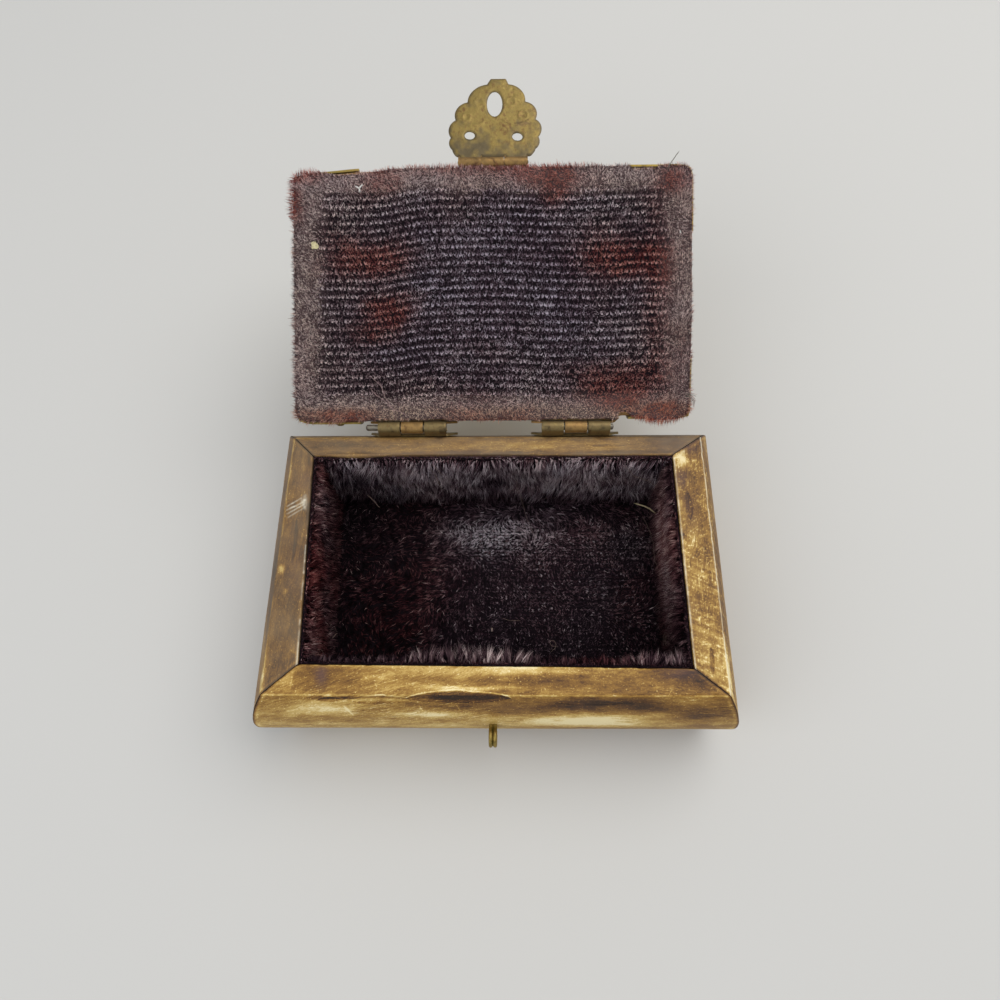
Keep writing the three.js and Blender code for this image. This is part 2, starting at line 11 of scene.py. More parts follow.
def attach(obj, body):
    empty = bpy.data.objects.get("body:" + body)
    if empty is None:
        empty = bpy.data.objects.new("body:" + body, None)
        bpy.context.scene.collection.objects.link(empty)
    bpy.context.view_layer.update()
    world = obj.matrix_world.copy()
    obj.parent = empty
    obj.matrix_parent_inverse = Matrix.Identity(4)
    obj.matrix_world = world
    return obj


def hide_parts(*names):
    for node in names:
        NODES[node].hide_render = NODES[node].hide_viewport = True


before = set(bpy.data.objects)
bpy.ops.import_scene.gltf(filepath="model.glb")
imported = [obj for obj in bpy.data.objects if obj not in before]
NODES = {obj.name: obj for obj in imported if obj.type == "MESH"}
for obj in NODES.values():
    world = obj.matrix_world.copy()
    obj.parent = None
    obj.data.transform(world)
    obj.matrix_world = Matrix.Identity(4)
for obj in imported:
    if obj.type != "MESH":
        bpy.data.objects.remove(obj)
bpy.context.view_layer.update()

MM = 0.001
TURN = 2 * math.pi
RNG = np.random.default_rng(5)

# Sizes in millimetres, as in the solids
RIM_X, RIM, BASE_H, BULGE = 47.0, 6.0, 30.0, 5.0
WALL_R = (BASE_H**2 / 4 + BULGE**2) / (2 * BULGE)
FLOOR_TOP = 3.3
LID_X, LID_Y, LID_H, LID_FALL = 45.2, 28.6, 7.0, 3.0
LID_R = (LID_H**2 + LID_FALL**2) / (2 * LID_FALL)
HINGE_X, HINGE_Y, HINGE_Z = 18.8, 30.9, 31.8
LID_ORIGIN = (0.0, 0.6, 32.4)
LID_OPEN, HASP_OPEN = math.radians(157.1), math.radians(7.9)
HASP_BARREL, HASP_BORE = 1.2, 0.72
PIN, HASP_PIN, CORNER_PIN = 0.7, 0.5, 0.5
STAPLE_Y, STAPLE_Z, STAPLE_RING, STAPLE_WIRE = -36.436, 18.62, 1.75, 0.9

# The rim's outer and inner corners, a little out of square as a hand-cut box is
OUTER = {"FL": (-47.5, -29.2), "FR": (48.4, -29.2), "BR": (47.4, 29.1), "BL": (-46.5, 29.3)}
INNER = {"FL": (-40.4, -23.0), "FR": (41.6, -23.7), "BR": (40.8, 24.6), "BL": (-41.7, 24.7)}
CORNERS = ("FL", "FR", "BR", "BL")
SIDE_SWELL = {"L": 0.91, "R": 0.83}  # share of the bulge that the left and right walls have


# Noise and soft shapes

def lattice(ix, iy, iz, seed):
    h = (ix * 374761393 + iy * 668265263 + iz * 1274126177 + seed * 974634777) & 0xFFFFFFFF
    h = ((h ^ (h >> 13)) * 1274126177) & 0xFFFFFFFF
    h = ((h ^ (h >> 16)) * 2246822519) & 0xFFFFFFFF
    return ((h ^ (h >> 15)) & 0xFFFFFF) / float(0xFFFFFF)


def noise(x, y, z=0.0, seed=0):
    """Smooth noise from 0 to 1."""
    p = np.broadcast_arrays(*(np.asarray(a, float) for a in (x, y, z)))
    cell = [np.floor(a).astype(np.int64) for a in p]
    f = [a - b for a, b in zip(p, cell)]
    f = [a * a * (3 - 2 * a) for a in f]
    total = 0
    for corner in np.ndindex(2, 2, 2):
        weight = math.prod(a if c else 1 - a for a, c in zip(f, corner))
        total = total + weight * lattice(*(a + c for a, c in zip(cell, corner)), seed)
    return total


def fbm(x, y, z=0.0, seed=0, octaves=4):
    total, share, size = 0.0, 0.5, 1.0
    for octave in range(octaves):
        total = total + share * noise(x * size, y * size, np.asarray(z) * size, seed + octave * 17)
        share, size = share / 2, size * 2.03
    return total / (1 - 0.5**octaves)


def wander(x, y, across, down, seed, octaves=4):
    """Noise from -0.5 to 0.5, by its scale each way."""
    return fbm(x * across, y * down, seed=seed, octaves=octaves) - 0.5


def clumps(x, y, seed, size=0.8):
    return wander(x, y, size, size, seed, 3)


def shaken(v, amount, scale, shift, seed):
    """Points moved a little, each way by a noise of its own."""
    x, y, z = (v * scale).T
    return v + amount * np.stack([fbm(x + k * shift, y, z, seed=seed + k) - 0.5 for k in range(3)], 1)


def grime_on(v, scale, seed, gain, less, more=0.0):
    return np.clip(fbm(*(v * scale).T, seed=seed) * gain - less + more, 0, 1)


def ramp01(x, a, b):
    t = np.clip((x - a) / (b - a), 0, 1)
    return t * t * (3 - 2 * t)


def box01(x, a, b, soft):
    return ramp01(x, a - soft, a + soft) * (1 - ramp01(x, b - soft, b + soft))


def ridge(x, width):
    return np.exp(-((x / width) ** 2))


def blobs(x, y, *spots):
    """Soft spots, each of them (x, y, half width, half height, amount)."""
    return sum(amount * np.exp(-((np.abs(x - cx) / rx) ** 2.5) - (np.abs(y - cy) / ry) ** 2.5)
               for cx, cy, rx, ry, amount in spots)


def rows_of(*parts):
    """Points or directions from numbers and arrays of x, y and z."""
    return np.stack(np.broadcast_arrays(*parts), -1)


def lengths(p):
    """The distance along a line up to each of its points."""
    return np.concatenate([[0], np.cumsum(np.linalg.norm(np.diff(p, axis=0), axis=1))])


def along_line(t, s, p):
    return np.stack([np.interp(t, s, column) for column in p.T], 1)


def unit(v):
    return v / np.linalg.norm(v, axis=-1, keepdims=True)


# Placing

def moved(x, y, z):
    return Matrix.Translation((x * MM, y * MM, z * MM))


def turned(angle, axis):
    return Matrix.Rotation(angle, 4, axis)


# From the closed lid's own frame, and from the hasp's, to where they are in the photograph
LID = moved(0, HINGE_Y, HINGE_Z) @ turned(-LID_OPEN, "X")
LID = LID @ moved(0, LID_ORIGIN[1] - HINGE_Y, LID_ORIGIN[2] - HINGE_Z)
HASP = LID @ moved(0, -30.1, -0.4) @ turned(-math.pi / 2, "Z") @ turned(-HASP_OPEN, "Y")
PLACES = {"base": Matrix(), "lid": LID, "hasp": HASP}


def placed(p, matrix):
    """Points in millimetres, moved by a matrix in metres."""
    m = np.array(matrix)
    return ((p * MM) @ m[:3, :3].T + m[:3, 3]) / MM


def bend_lid(p):
    """The lid is out of true: its front edge falls away to the left, its right side and its back right
    corner sit further in, and its corners are worn round. In the closed lid's frame, in millimetres."""
    x, y, z = p.T
    y = y + np.interp(x, [-47, -44, -38, -33, -29], [1.7, 1.35, 0.7, 0.25, 0.0]) * ramp01(-y, 21, 28)
    x = x - (0.35 + 0.5 * ramp01(y, 4, 24)) * ramp01(x, 38, 45)
    y = y - 0.9 * ramp01(x, 27.4, 29.2) * ramp01(y, 19, 27)
    for cx, cy, worn in ((-42.6, -25.0, 0.35), (-42.4, 25.8, 0.75), (42.3, -26.0, 0.7), (41.6, 25.2, 0.6)):
        dx, dy = (x - cx) * math.copysign(1, cx), (y - cy) * math.copysign(1, cy)
        away = np.maximum(np.hypot(dx, dy), 1e-6)
        pull = np.where((dx > 0) & (dy > 0), 1 - worn * (1 - np.maximum(dx, dy) / away), 1.0)
        x, y = cx + (x - cx) * pull, cy + (y - cy) * pull
    return np.column_stack([x, y, z])


def bend_world(p):
    """The same, for points in the shared frame."""
    return placed(bend_lid(placed(p, LID.inverted())), LID)


def side_shift(point):
    """How far the base's left or right wall, as made here, lies from its solid at a point."""
    x, y, z = point
    (xa, ya), (xb, yb) = (OUTER[end + ("L" if x < 0 else "R")] for end in "FB")
    rim = abs(xa + (xb - xa) * (y - ya) / (yb - ya))
    out = math.sqrt(WALL_R**2 - (z - BASE_H / 2) ** 2) + BULGE - WALL_R
    return (rim + out * SIDE_SWELL["L" if x < 0 else "R"] - RIM_X - out) * (1 if x > 0 else -1)


# Materials


def srgb(r, g, b, share=1.0):
    return tuple(share * (c / 12.92 if c <= 0.04045 else ((c + 0.055) / 1.055) ** 2.4)
                 for c in (r / 255, g / 255, b / 255))


class Look:
    """A material built node by node. An input is a number, a colour or vector, or another node's output."""

    def __init__(self, name, slot):
        self.material = bpy.data.materials.new(name)
        self.material.use_nodes = True
        self.tree = self.material.node_tree
        self.tree.nodes.clear()
        out = self.tree.nodes.new("ShaderNodeOutputMaterial")
        self.shader = self.tree.nodes.new("ShaderNodeBsdfPrincipled")
        self.tree.links.new(self.shader.outputs[0], out.inputs[0])

    def put(self, socket, value):
        if isinstance(value, bpy.types.NodeSocket):
            self.tree.links.new(value, socket)
        elif isinstance(value, tuple):
            socket.default_value = value + (1,) * (socket.type == "RGBA")
        else:
            socket.default_value = value

    def node(self, kind, result, inputs, **settings):
        n = self.tree.nodes.new("ShaderNode" + kind)
        for key, value in settings.items():
            setattr(n, key, value)
        for key, value in inputs.items():
            self.put(n.inputs[key], value)
        return n.outputs[result]

    def attribute(self, name, result="Fac"):
        return self.node("Attribute", result, {}, attribute_name=name)

    def object_mm(self):
        at = self.node("TexCoord", "Object", {})
        return self.node("Mapping", 0, {0: at, "Scale": (1000, 1000, 1000)})

    def noise(self, at, stretch, detail, rough, distort=0.0, shift=(0, 0, 0), scale=1.0):
        at = self.node("Mapping", 0, {0: at, "Location": shift, "Scale": stretch})
        return self.node("TexNoise", "Fac", {"Vector": at, "Scale": scale, "Detail": detail, "Roughness": rough,
                                             "Distortion": distort})

    def maths(self, op, a, b=0.0, c=0.0, clamp=False):
        return self.node("Math", 0, {0: a, 1: b, 2: c}, operation=op, use_clamp=clamp)

    def times(self, a, b=1.0, clamp=False):
        return self.maths("MULTIPLY", a, b, clamp=clamp)

    def part(self, value, share, to):
        """A noise's swing about its middle, added by its share."""
        return self.maths("MULTIPLY_ADD", self.maths("SUBTRACT", value, 0.5), share, to)

    def over(self, value, level, by):
        """How far a value is over a level, times by."""
        return self.times(self.maths("SUBTRACT", value, level, clamp=True), by)

    def mix(self, fac, a, b, blend="MIX"):
        return self.node("Mix", 2, {0: fac, 6: a, 7: b}, data_type="RGBA", blend_type=blend)

    def ramp(self, value, *stops):
        n = self.tree.nodes.new("ShaderNodeValToRGB")
        self.put(n.inputs[0], value)
        e = n.color_ramp.elements
        while len(e) < len(stops):
            e.new(0.5)
        for element, (at, *rgb) in zip(e, stops):
            element.position, element.color = at, srgb(*rgb) + (1,)
        return n.outputs[0]

    def bump(self, height, strength, distance):
        return self.node("Bump", 0, {"Height": height, "Strength": strength, "Distance": distance})

    def done(self, colour, rough, normal=None, **more):
        values = {"Base Color": colour, "Roughness": rough, "Normal": normal, **more}
        for key, value in values.items():
            if value is not None:
                self.put(self.shader.inputs[key.replace("_", " ")], value)
        return self.material


def bone(name, pale=0.0):
    m = Look(name, "bone")
    grain, t = m.attribute("grain", "Vector"), m.attribute("tone")
    fibre = m.noise(grain, (0.34, 1.6, 1.0), 5, 0.7, 0.8)
    fine = m.noise(grain, (2.0, 4.0, 3.0), 4, 0.75, shift=(3, 7, 1))
    patch = m.noise(grain, (0.26, 0.5, 0.3), 3, 0.55, 0.4, (11, 2, 5))
    for value, share in ((fibre, 0.5), (fine, 0.6), (patch, 0.4)):
        t = m.part(value, share, t)
    # pale fibres and dark pores, where the bone shows them
    thin = m.noise(grain, (0.34, 4.6, 2.0), 4, 0.66, 0.5, (5, 1, 8))
    streaks = m.maths("SUBTRACT", m.over(thin, 0.57, 3.2), m.over(0.42, thin, 2.2))
    t = m.maths("MULTIPLY_ADD", streaks, m.attribute("fibre"), t)
    specks = m.noise(grain, (2.6, 3.4, 2.0), 2, 0.5, shift=(2, 9, 4))
    t = m.maths("ADD", m.over(specks, 0.62, 3.0), t)
    t = m.maths("ADD", t, pale, clamp=True)
    colour = m.ramp(t, (0.0, 34, 20, 10), (0.2, 80, 50, 22), (0.42, 130, 92, 38), (0.6, 166, 128, 60),
                    (0.8, 208, 176, 102), (1.0, 240, 222, 170))
    # the whitest mix is chalky wear, and in part a painted highlight along the walls' edges
    for key, rgb in (("stain", (92, 66, 62)), ("dust", (138, 120, 94)), ("chalk", (222, 214, 192))):
        colour = m.mix(m.times(m.attribute(key), clamp=True), colour, srgb(*rgb))
    height = m.maths("MULTIPLY_ADD", fine, 0.6, fibre)
    return m.done(colour, m.maths("MULTIPLY_ADD", fine, 0.25, 0.42), m.bump(height, 0.22, 0.0001),
                  Specular_IOR_Level=0.28)


def plush(name):
    """Pile: each strand carries its tint, its cast and its own length from root to tip."""
    m = Look(name, "plush")
    speckle = m.noise(m.object_mm(), (1, 1, 1), 2, 0.5, scale=2.2)
    t = m.part(speckle, 0.2, m.attribute("tint"))
    t = m.maths("SUBTRACT", m.maths("MULTIPLY_ADD", m.attribute("tip"), 0.2, t), 0.1, clamp=True)
    cool = m.ramp(t, (0.0, 4, 2, 4), (0.15, 16, 9, 13), (0.3, 44, 32, 40), (0.5, 84, 68, 74), (0.75, 140, 120, 122),
                  (0.9, 190, 172, 172), (1.0, 238, 222, 218))
    warm = m.ramp(t, (0.0, 6, 1, 2), (0.15, 26, 8, 9), (0.3, 66, 22, 24), (0.5, 108, 46, 46), (0.75, 150, 82, 76),
                  (1.0, 206, 142, 128))
    colour = m.mix(m.attribute("red"), cool, warm)
    for way, tinge in ((1.0, (0.78, 0.83, 1.0)), (-1.0, (1.0, 0.96, 0.78))):
        colour = m.mix(m.times(m.attribute("cast"), way, clamp=True), colour, tinge, "MULTIPLY")
    return m.done(colour, 0.85, Specular_IOR_Level=0.04)


def cloth(name, dark, light, bald):
    """The ground that the pile stands on, bald where nap is 1."""
    m = Look(name, "plush")
    at = m.object_mm()
    weave, mottle = m.noise(at, (3.2, 3.2, 3.2), 2, 0.6), m.noise(at, (0.25, 0.25, 0.25), 3, 0.5)
    t = m.maths("MULTIPLY_ADD", mottle, 0.5, m.times(weave, 0.5), clamp=True)
    colour = m.mix(m.attribute("nap"), m.ramp(t, (0.3, *dark), (0.75, *light)), srgb(*bald))
    return m.done(colour, 0.92, m.bump(weave, 0.5, 0.0002), Specular_IOR_Level=0.1)


def brass(name, base, dark, green, metal, slot="brass"):
    m = Look(name, slot)
    at = m.object_mm()
    mottle = m.noise(at, (1, 1, 1), 4, 0.65, 0.5, scale=0.55)
    spots = m.noise(at, (1, 1, 1), 3, 0.6, shift=(9, 3, 5), scale=1.9)
    fine = m.noise(at, (2.2, 9, 9), 3, 0.6)
    colour = m.ramp(mottle, (0.28, *dark), (0.46, *base), (0.62, *base), (0.8, 186, 160, 92))
    colour = m.mix(m.times(m.over(spots, 0.52, 3.2), clamp=True), colour, srgb(112, 78, 46))
    colour = m.mix(m.times(m.attribute("grime"), clamp=True), colour, srgb(*green))
    height = m.maths("MULTIPLY_ADD", spots, 0.6, m.times(fine, 0.4))
    return m.done(colour, m.maths("MULTIPLY_ADD", mottle, 0.3, 0.3), m.bump(height, 0.3, 0.00012), Metallic=metal)


def wood(name):
    m = Look(name, "wood")
    at = m.object_mm()
    grain, pores = m.noise(at, (0.05, 1.1, 1.1), 5, 0.6, 0.8), m.noise(at, (0.5, 7, 7), 2, 0.6)
    t = m.maths("MULTIPLY_ADD", pores, 0.25, m.times(grain, 0.85), clamp=True)
    colour = m.ramp(t, (0.25, 62, 38, 20), (0.5, 104, 68, 38), (0.8, 142, 100, 60))
    return m.done(colour, 0.7, m.bump(pores, 0.4, 0.0001))


def plain(name, colour, rough=0.6):
    m = Look(name, "plush")
    grain = m.noise(m.object_mm(), (2, 2, 2), 3, 0.6)
    return m.done(m.ramp(grain, (0.3, *colour, 0.55), (0.6, *colour)), rough)


BONE, PALE = bone("stained_bone"), bone("pale_bone", 0.12)
PILE, CLOTH = plush("plush_pile"), cloth("plush_ground", (7, 4, 6), (26, 17, 23), (78, 64, 64))
BRASS = brass("aged_brass", (150, 128, 66), (84, 64, 34), (96, 98, 52), 0.8)
BRASS_DULL = brass("dull_brass", (124, 106, 68), (66, 52, 34), (84, 76, 52), 0.7)
BRASS_RED = brass("worn_brass", (148, 116, 68), (84, 58, 34), (84, 70, 46), 0.7)
HASP_BRASS = brass("hasp_brass", (136, 116, 62), (96, 68, 38), (92, 80, 56), 0.65)
STEEL = brass("old_steel", (128, 122, 110), (70, 62, 52), (60, 52, 44), 0.9, "steel")
DARK_STEEL = brass("dark_steel", (52, 46, 42), (26, 22, 20), (30, 26, 24), 0.7, "steel")
WOOD = wood("old_wood")
STRAW, HAIR = plain("straw", (176, 158, 122)), plain("hair", (126, 104, 92), 0.45)
CHIP_WHITE, CHIP_CREAM = plain("white_flake", (226, 222, 216)), plain("cream_flake", (196, 184, 140))
THREAD, DARK_FIBRE = plain("pink_thread", (176, 146, 142), 0.8), plain("dark_fibre", (112, 108, 96), 0.8)


# Meshes

def show(name, me, material, body, replaces, matrix, sharp):
    """Puts a mesh into the scene as a smooth piece of its body."""
    me.shade_smooth()
    if sharp:
        me.set_sharp_from_angle(angle=math.radians(sharp))
    me.materials.append(material)
    ob = bpy.data.objects.new(name, me)
    bpy.context.scene.collection.objects.link(ob)
    ob.matrix_world = matrix
    bpy.context.view_layer.update()
    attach(ob, body)
    if replaces:
        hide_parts(*replaces)
    return ob


def make(name, verts, polys, material, body, replaces=(), matrix=None, sharp=None, uv=None, **values):
    """A closed piece from points in millimetres and arrays of faces, with a value of each kind at each point."""
    me = bpy.data.meshes.new(name)
    verts = bend_lid(verts) if body == "lid" and matrix is None else verts
    polys = [np.asarray(p, np.int32) for p in polys if len(p)]
    volume = sum((verts[p[:, 0]] * np.cross(verts[p[:, k]], verts[p[:, k + 1]])).sum()
                 for p in polys for k in range(1, p.shape[1] - 1))
    if volume < 0:
        polys = [p[:, ::-1] for p in polys]
    me.vertices.add(len(verts))
    me.vertices.foreach_set("co", (verts * MM).astype(np.float32).ravel())
    loops = np.concatenate([p.ravel() for p in polys])
    sizes = np.concatenate([np.full(len(p), p.shape[1]) for p in polys])
    me.loops.add(len(loops))
    me.loops.foreach_set("vertex_index", loops)
    me.polygons.add(len(sizes))
    me.polygons.foreach_set("loop_start", np.concatenate([[0], np.cumsum(sizes)[:-1]]).astype(np.int32))
    me.update(calc_edges=True)
    for key, value in values.items():
        kind, field, wide = ("FLOAT_VECTOR", "vector", 3) if key == "grain" else ("FLOAT", "value", 1)
        value = np.broadcast_to(value if np.ndim(value) else [value], (len(verts),) + (3,) * (wide > 1))
        me.attributes.new(key, kind, "POINT").data.foreach_set(field, value.astype(np.float32).ravel())
    if uv is not None:
        me.uv_layers.new(name="OFBake").uv.foreach_set("vector", uv.astype(np.float32)[loops].ravel())
    return show(name, me, material, body, replaces, matrix or PLACES[body], sharp)


def grid_faces(rows, cols, closed=False):
    """Quads over a grid of points numbered row by row."""
    i, j = np.meshgrid(np.arange(rows - 1), np.arange(cols if closed else cols - 1), indexing="ij")
    j2 = (j + 1) % cols
    return np.stack([i * cols + j, i * cols + j2, (i + 1) * cols + j2, (i + 1) * cols + j], -1).reshape(-1, 4)


def tube(name, rings, *args, across=None, **kwargs):
    """A closed piece through rings of points, given as rows by sides by 3. across has the sides' places round
    it, from 0 to 1, where they aren't even."""
    n, sides = rings.shape[:2]
    across = np.arange(sides) / sides if across is None else across
    ends = [np.arange(sides)[None, ::-1], ((n - 1) * sides + np.arange(sides))[None]]
    uv = rows_of(np.linspace(0.01, 0.99, n)[:, None], 0.01 + 0.98 * across)
    return make(name, rings.reshape(-1, 3), [grid_faces(n, sides, True), *ends], *args, uv=uv.reshape(-1, 2), **kwargs)


def shell_faces(rows, cols):
    """Faces of a closed sheet: its front grid, its back grid, and the edge between them."""
    count = rows * cols
    front = grid_faces(rows, cols)
    i = np.arange(count).reshape(rows, cols)
    rim = np.concatenate([i[:, 0], i[-1, 1:], i[-2::-1, -1], i[0, -2:0:-1]])
    nxt = np.roll(rim, -1)
    return [front, front[:, ::-1] + count, np.stack([rim + count, nxt + count, nxt, rim], 1)]


def disc_faces(n, turns):
    """Faces of a closed disc: two layers of a middle point and rings of n points, and the edge between them."""
    i = np.arange(n)
    j, m = (i + 1) % n, 1 + turns * n
    fan = np.stack([0 * i, 1 + i, 1 + j], 1)
    first = 1 + n * np.arange(turns - 1)[:, None]
    rings = np.stack([first + i, first + n + i, first + n + j, first + j], -1).reshape(-1, 4)
    last, nxt = m - n + i, m - n + j
    return [fan, fan[:, ::-1] + m, rings, rings[:, ::-1] + m, np.stack([last + m, nxt + m, nxt, last], 1)]


def both_faces(u, v):
    uv = np.stack([u, v], -1).reshape(-1, 2)
    return np.concatenate([uv, uv + [0.5, 0]])


# Camera, light and floor

def add_object(name, data, matrix):
    ob = bpy.data.objects.new(name, data)
    ob.matrix_world = matrix
    bpy.context.scene.collection.objects.link(ob)
    return ob


def camera():
    """Set by matching the rim, the opening, the lid and the hasp to the photograph."""
    pitch, roll, yaw = (math.radians(a) for a in (21.693, -3.556, 3.651))
    data = bpy.data.cameras.new("camera")
    data.sensor_width, data.lens = 36, 0.78 * 36
    data.clip_start, data.clip_end = 0.01, 20
    turn = turned(yaw, "Z") @ turned(pitch, "X") @ turned(roll, "Z")
    bpy.context.scene.camera = add_object("camera", data, moved(5.57, -50.85, 192.31) @ turn)


def area_light(name, at, watts, colour):
    data = bpy.data.lights.new(name, "AREA")
    data.shape, data.size, data.energy, data.color = "DISK", 0.8, watts, colour
    look = (Vector((0, 0.02, 0.02)) - Vector(at)).to_track_quat("-Z", "Y").to_matrix().to_4x4()
    add_object(name, data, Matrix.Translation(at) @ look)


def surroundings():
    me = bpy.data.meshes.new("floor")
    r = 3.0
    me.from_pydata([(-r, -r, 0), (r, -r, 0), (r, r, 0), (-r, r, 0)], [], [(0, 1, 2, 3)])
    me.materials.append(Look("pale_floor", None).done((0.57, 0.56, 0.535), 0.8))
    add_object("floor", me, Matrix())
    world = bpy.data.worlds.new("studio")
    world.use_nodes = True
    back = world.node_tree.nodes["Background"]
    back.inputs["Color"].default_value = (0.93, 0.96, 1.0, 1)
    back.inputs["Strength"].default_value = 0.61
    bpy.context.scene.world = world
    area_light("key", (0.35, 0.25, 0.75), 4.2, (1.0, 0.98, 0.95))
    area_light("fill", (-0.5, -0.35, 0.6), 2.2, (0.95, 0.97, 1.0))
    bpy.context.scene.view_settings.view_transform = "Standard"


camera()
surroundings()


# Bone bars: the base's walls and the lid's rails

def smooth_loop(points, spacing, round_by, fine):
    """A closed outline, resampled, with its corners worn round. fine gives the spacing at a point."""
    q = np.vstack([points, points[:1]])
    s = lengths(q)
    n = int(s[-1] / spacing)
    dense = along_line(np.arange(n) * s[-1] / n, s, q)
    half = int(4 * round_by / spacing) + 1
    kernel = np.exp(-0.5 * (np.arange(-half, half + 1) * spacing / round_by) ** 2)
    padded = np.vstack([dense[-half:], dense, dense[:half]])
    dense = np.stack([np.convolve(column, kernel / kernel.sum(), "valid") for column in padded.T], 1)
    density = np.concatenate([[0], np.cumsum([spacing / fine(a, b) for a, b in dense])])
    count = int(density[-1])
    places = np.interp(np.arange(count) * density[-1] / count, density, np.arange(n + 1))
    return along_line(places, np.arange(n + 1), np.vstack([dense, dense[:1]]))


def arc(centre, radius, a, b, n):
    return [(centre[0] + radius * math.cos(t), centre[1] + radius * math.sin(t)) for t in np.linspace(a, b, n)]


def bone_bar(name, section, around, ends, stations, shape, paint, body, node):
    """A mitred bar. section has (out, up) points, and ends(out) gives the two corner points for a distance
    out. shape and paint take the place along the bar and around it, and the section's out and up."""
    outs, ups = section.T
    ring = lengths(section)
    a, b = ends(outs[:, None])
    t = np.linspace(0, 1, stations)[:, None, None]
    flat = a * (1 - t) + b * t
    p = np.dstack([flat, np.broadcast_to(ups, flat.shape[:2])])
    along = unit((b - a).mean(0))
    u = flat @ along
    normals = np.cross(np.roll(p, -1, 1) - np.roll(p, 1, 1), np.gradient(p, axis=0))
    normals /= np.maximum(np.linalg.norm(normals, axis=-1, keepdims=True), 1e-9)
    if (normals[stations // 2] @ [along[1], -along[0], 0])[outs.argmax()] < 0:
        normals = -normals
    around = np.broadcast_to(around, u.shape)
    looks = paint(u, around, outs, ups)
    looks = {key: x.reshape(-1, *x.shape[2:]) if np.ndim(x) else x for key, x in looks.items()}
    tube(name, p + normals * shape(u, around, outs, ups)[..., None], BONE, body, [node], sharp=50,
         across=ring / ring[-1], **looks)


def wall_section():
    swing = math.asin(BASE_H / 2 / WALL_R)
    pts = [(-RIM + 2.4, 0.0), *arc((BULGE - WALL_R, BASE_H / 2), WALL_R, -swing, swing, 60),
           (-RIM, BASE_H), (-RIM, FLOOR_TOP), (-RIM + 2.4, FLOOR_TOP)]
    loop = smooth_loop(pts, 0.08, 0.2, lambda o, z: 0.2 if z > BASE_H - 0.6 or o > 0.0 else 1.2)
    return np.roll(loop, -int(np.argmin(np.hypot(loop[:, 0] + RIM - 2.4, loop[:, 1] - FLOOR_TOP))), 0)


SECTION = wall_section()
# Distance round the section from the upper outer edge: below 0 across the top, above 0 down the face
TOP_AT = int(np.argmin(np.hypot(SECTION[:, 0], SECTION[:, 1] - BASE_H)))
FACE = lengths(SECTION)[TOP_AT] - lengths(SECTION)
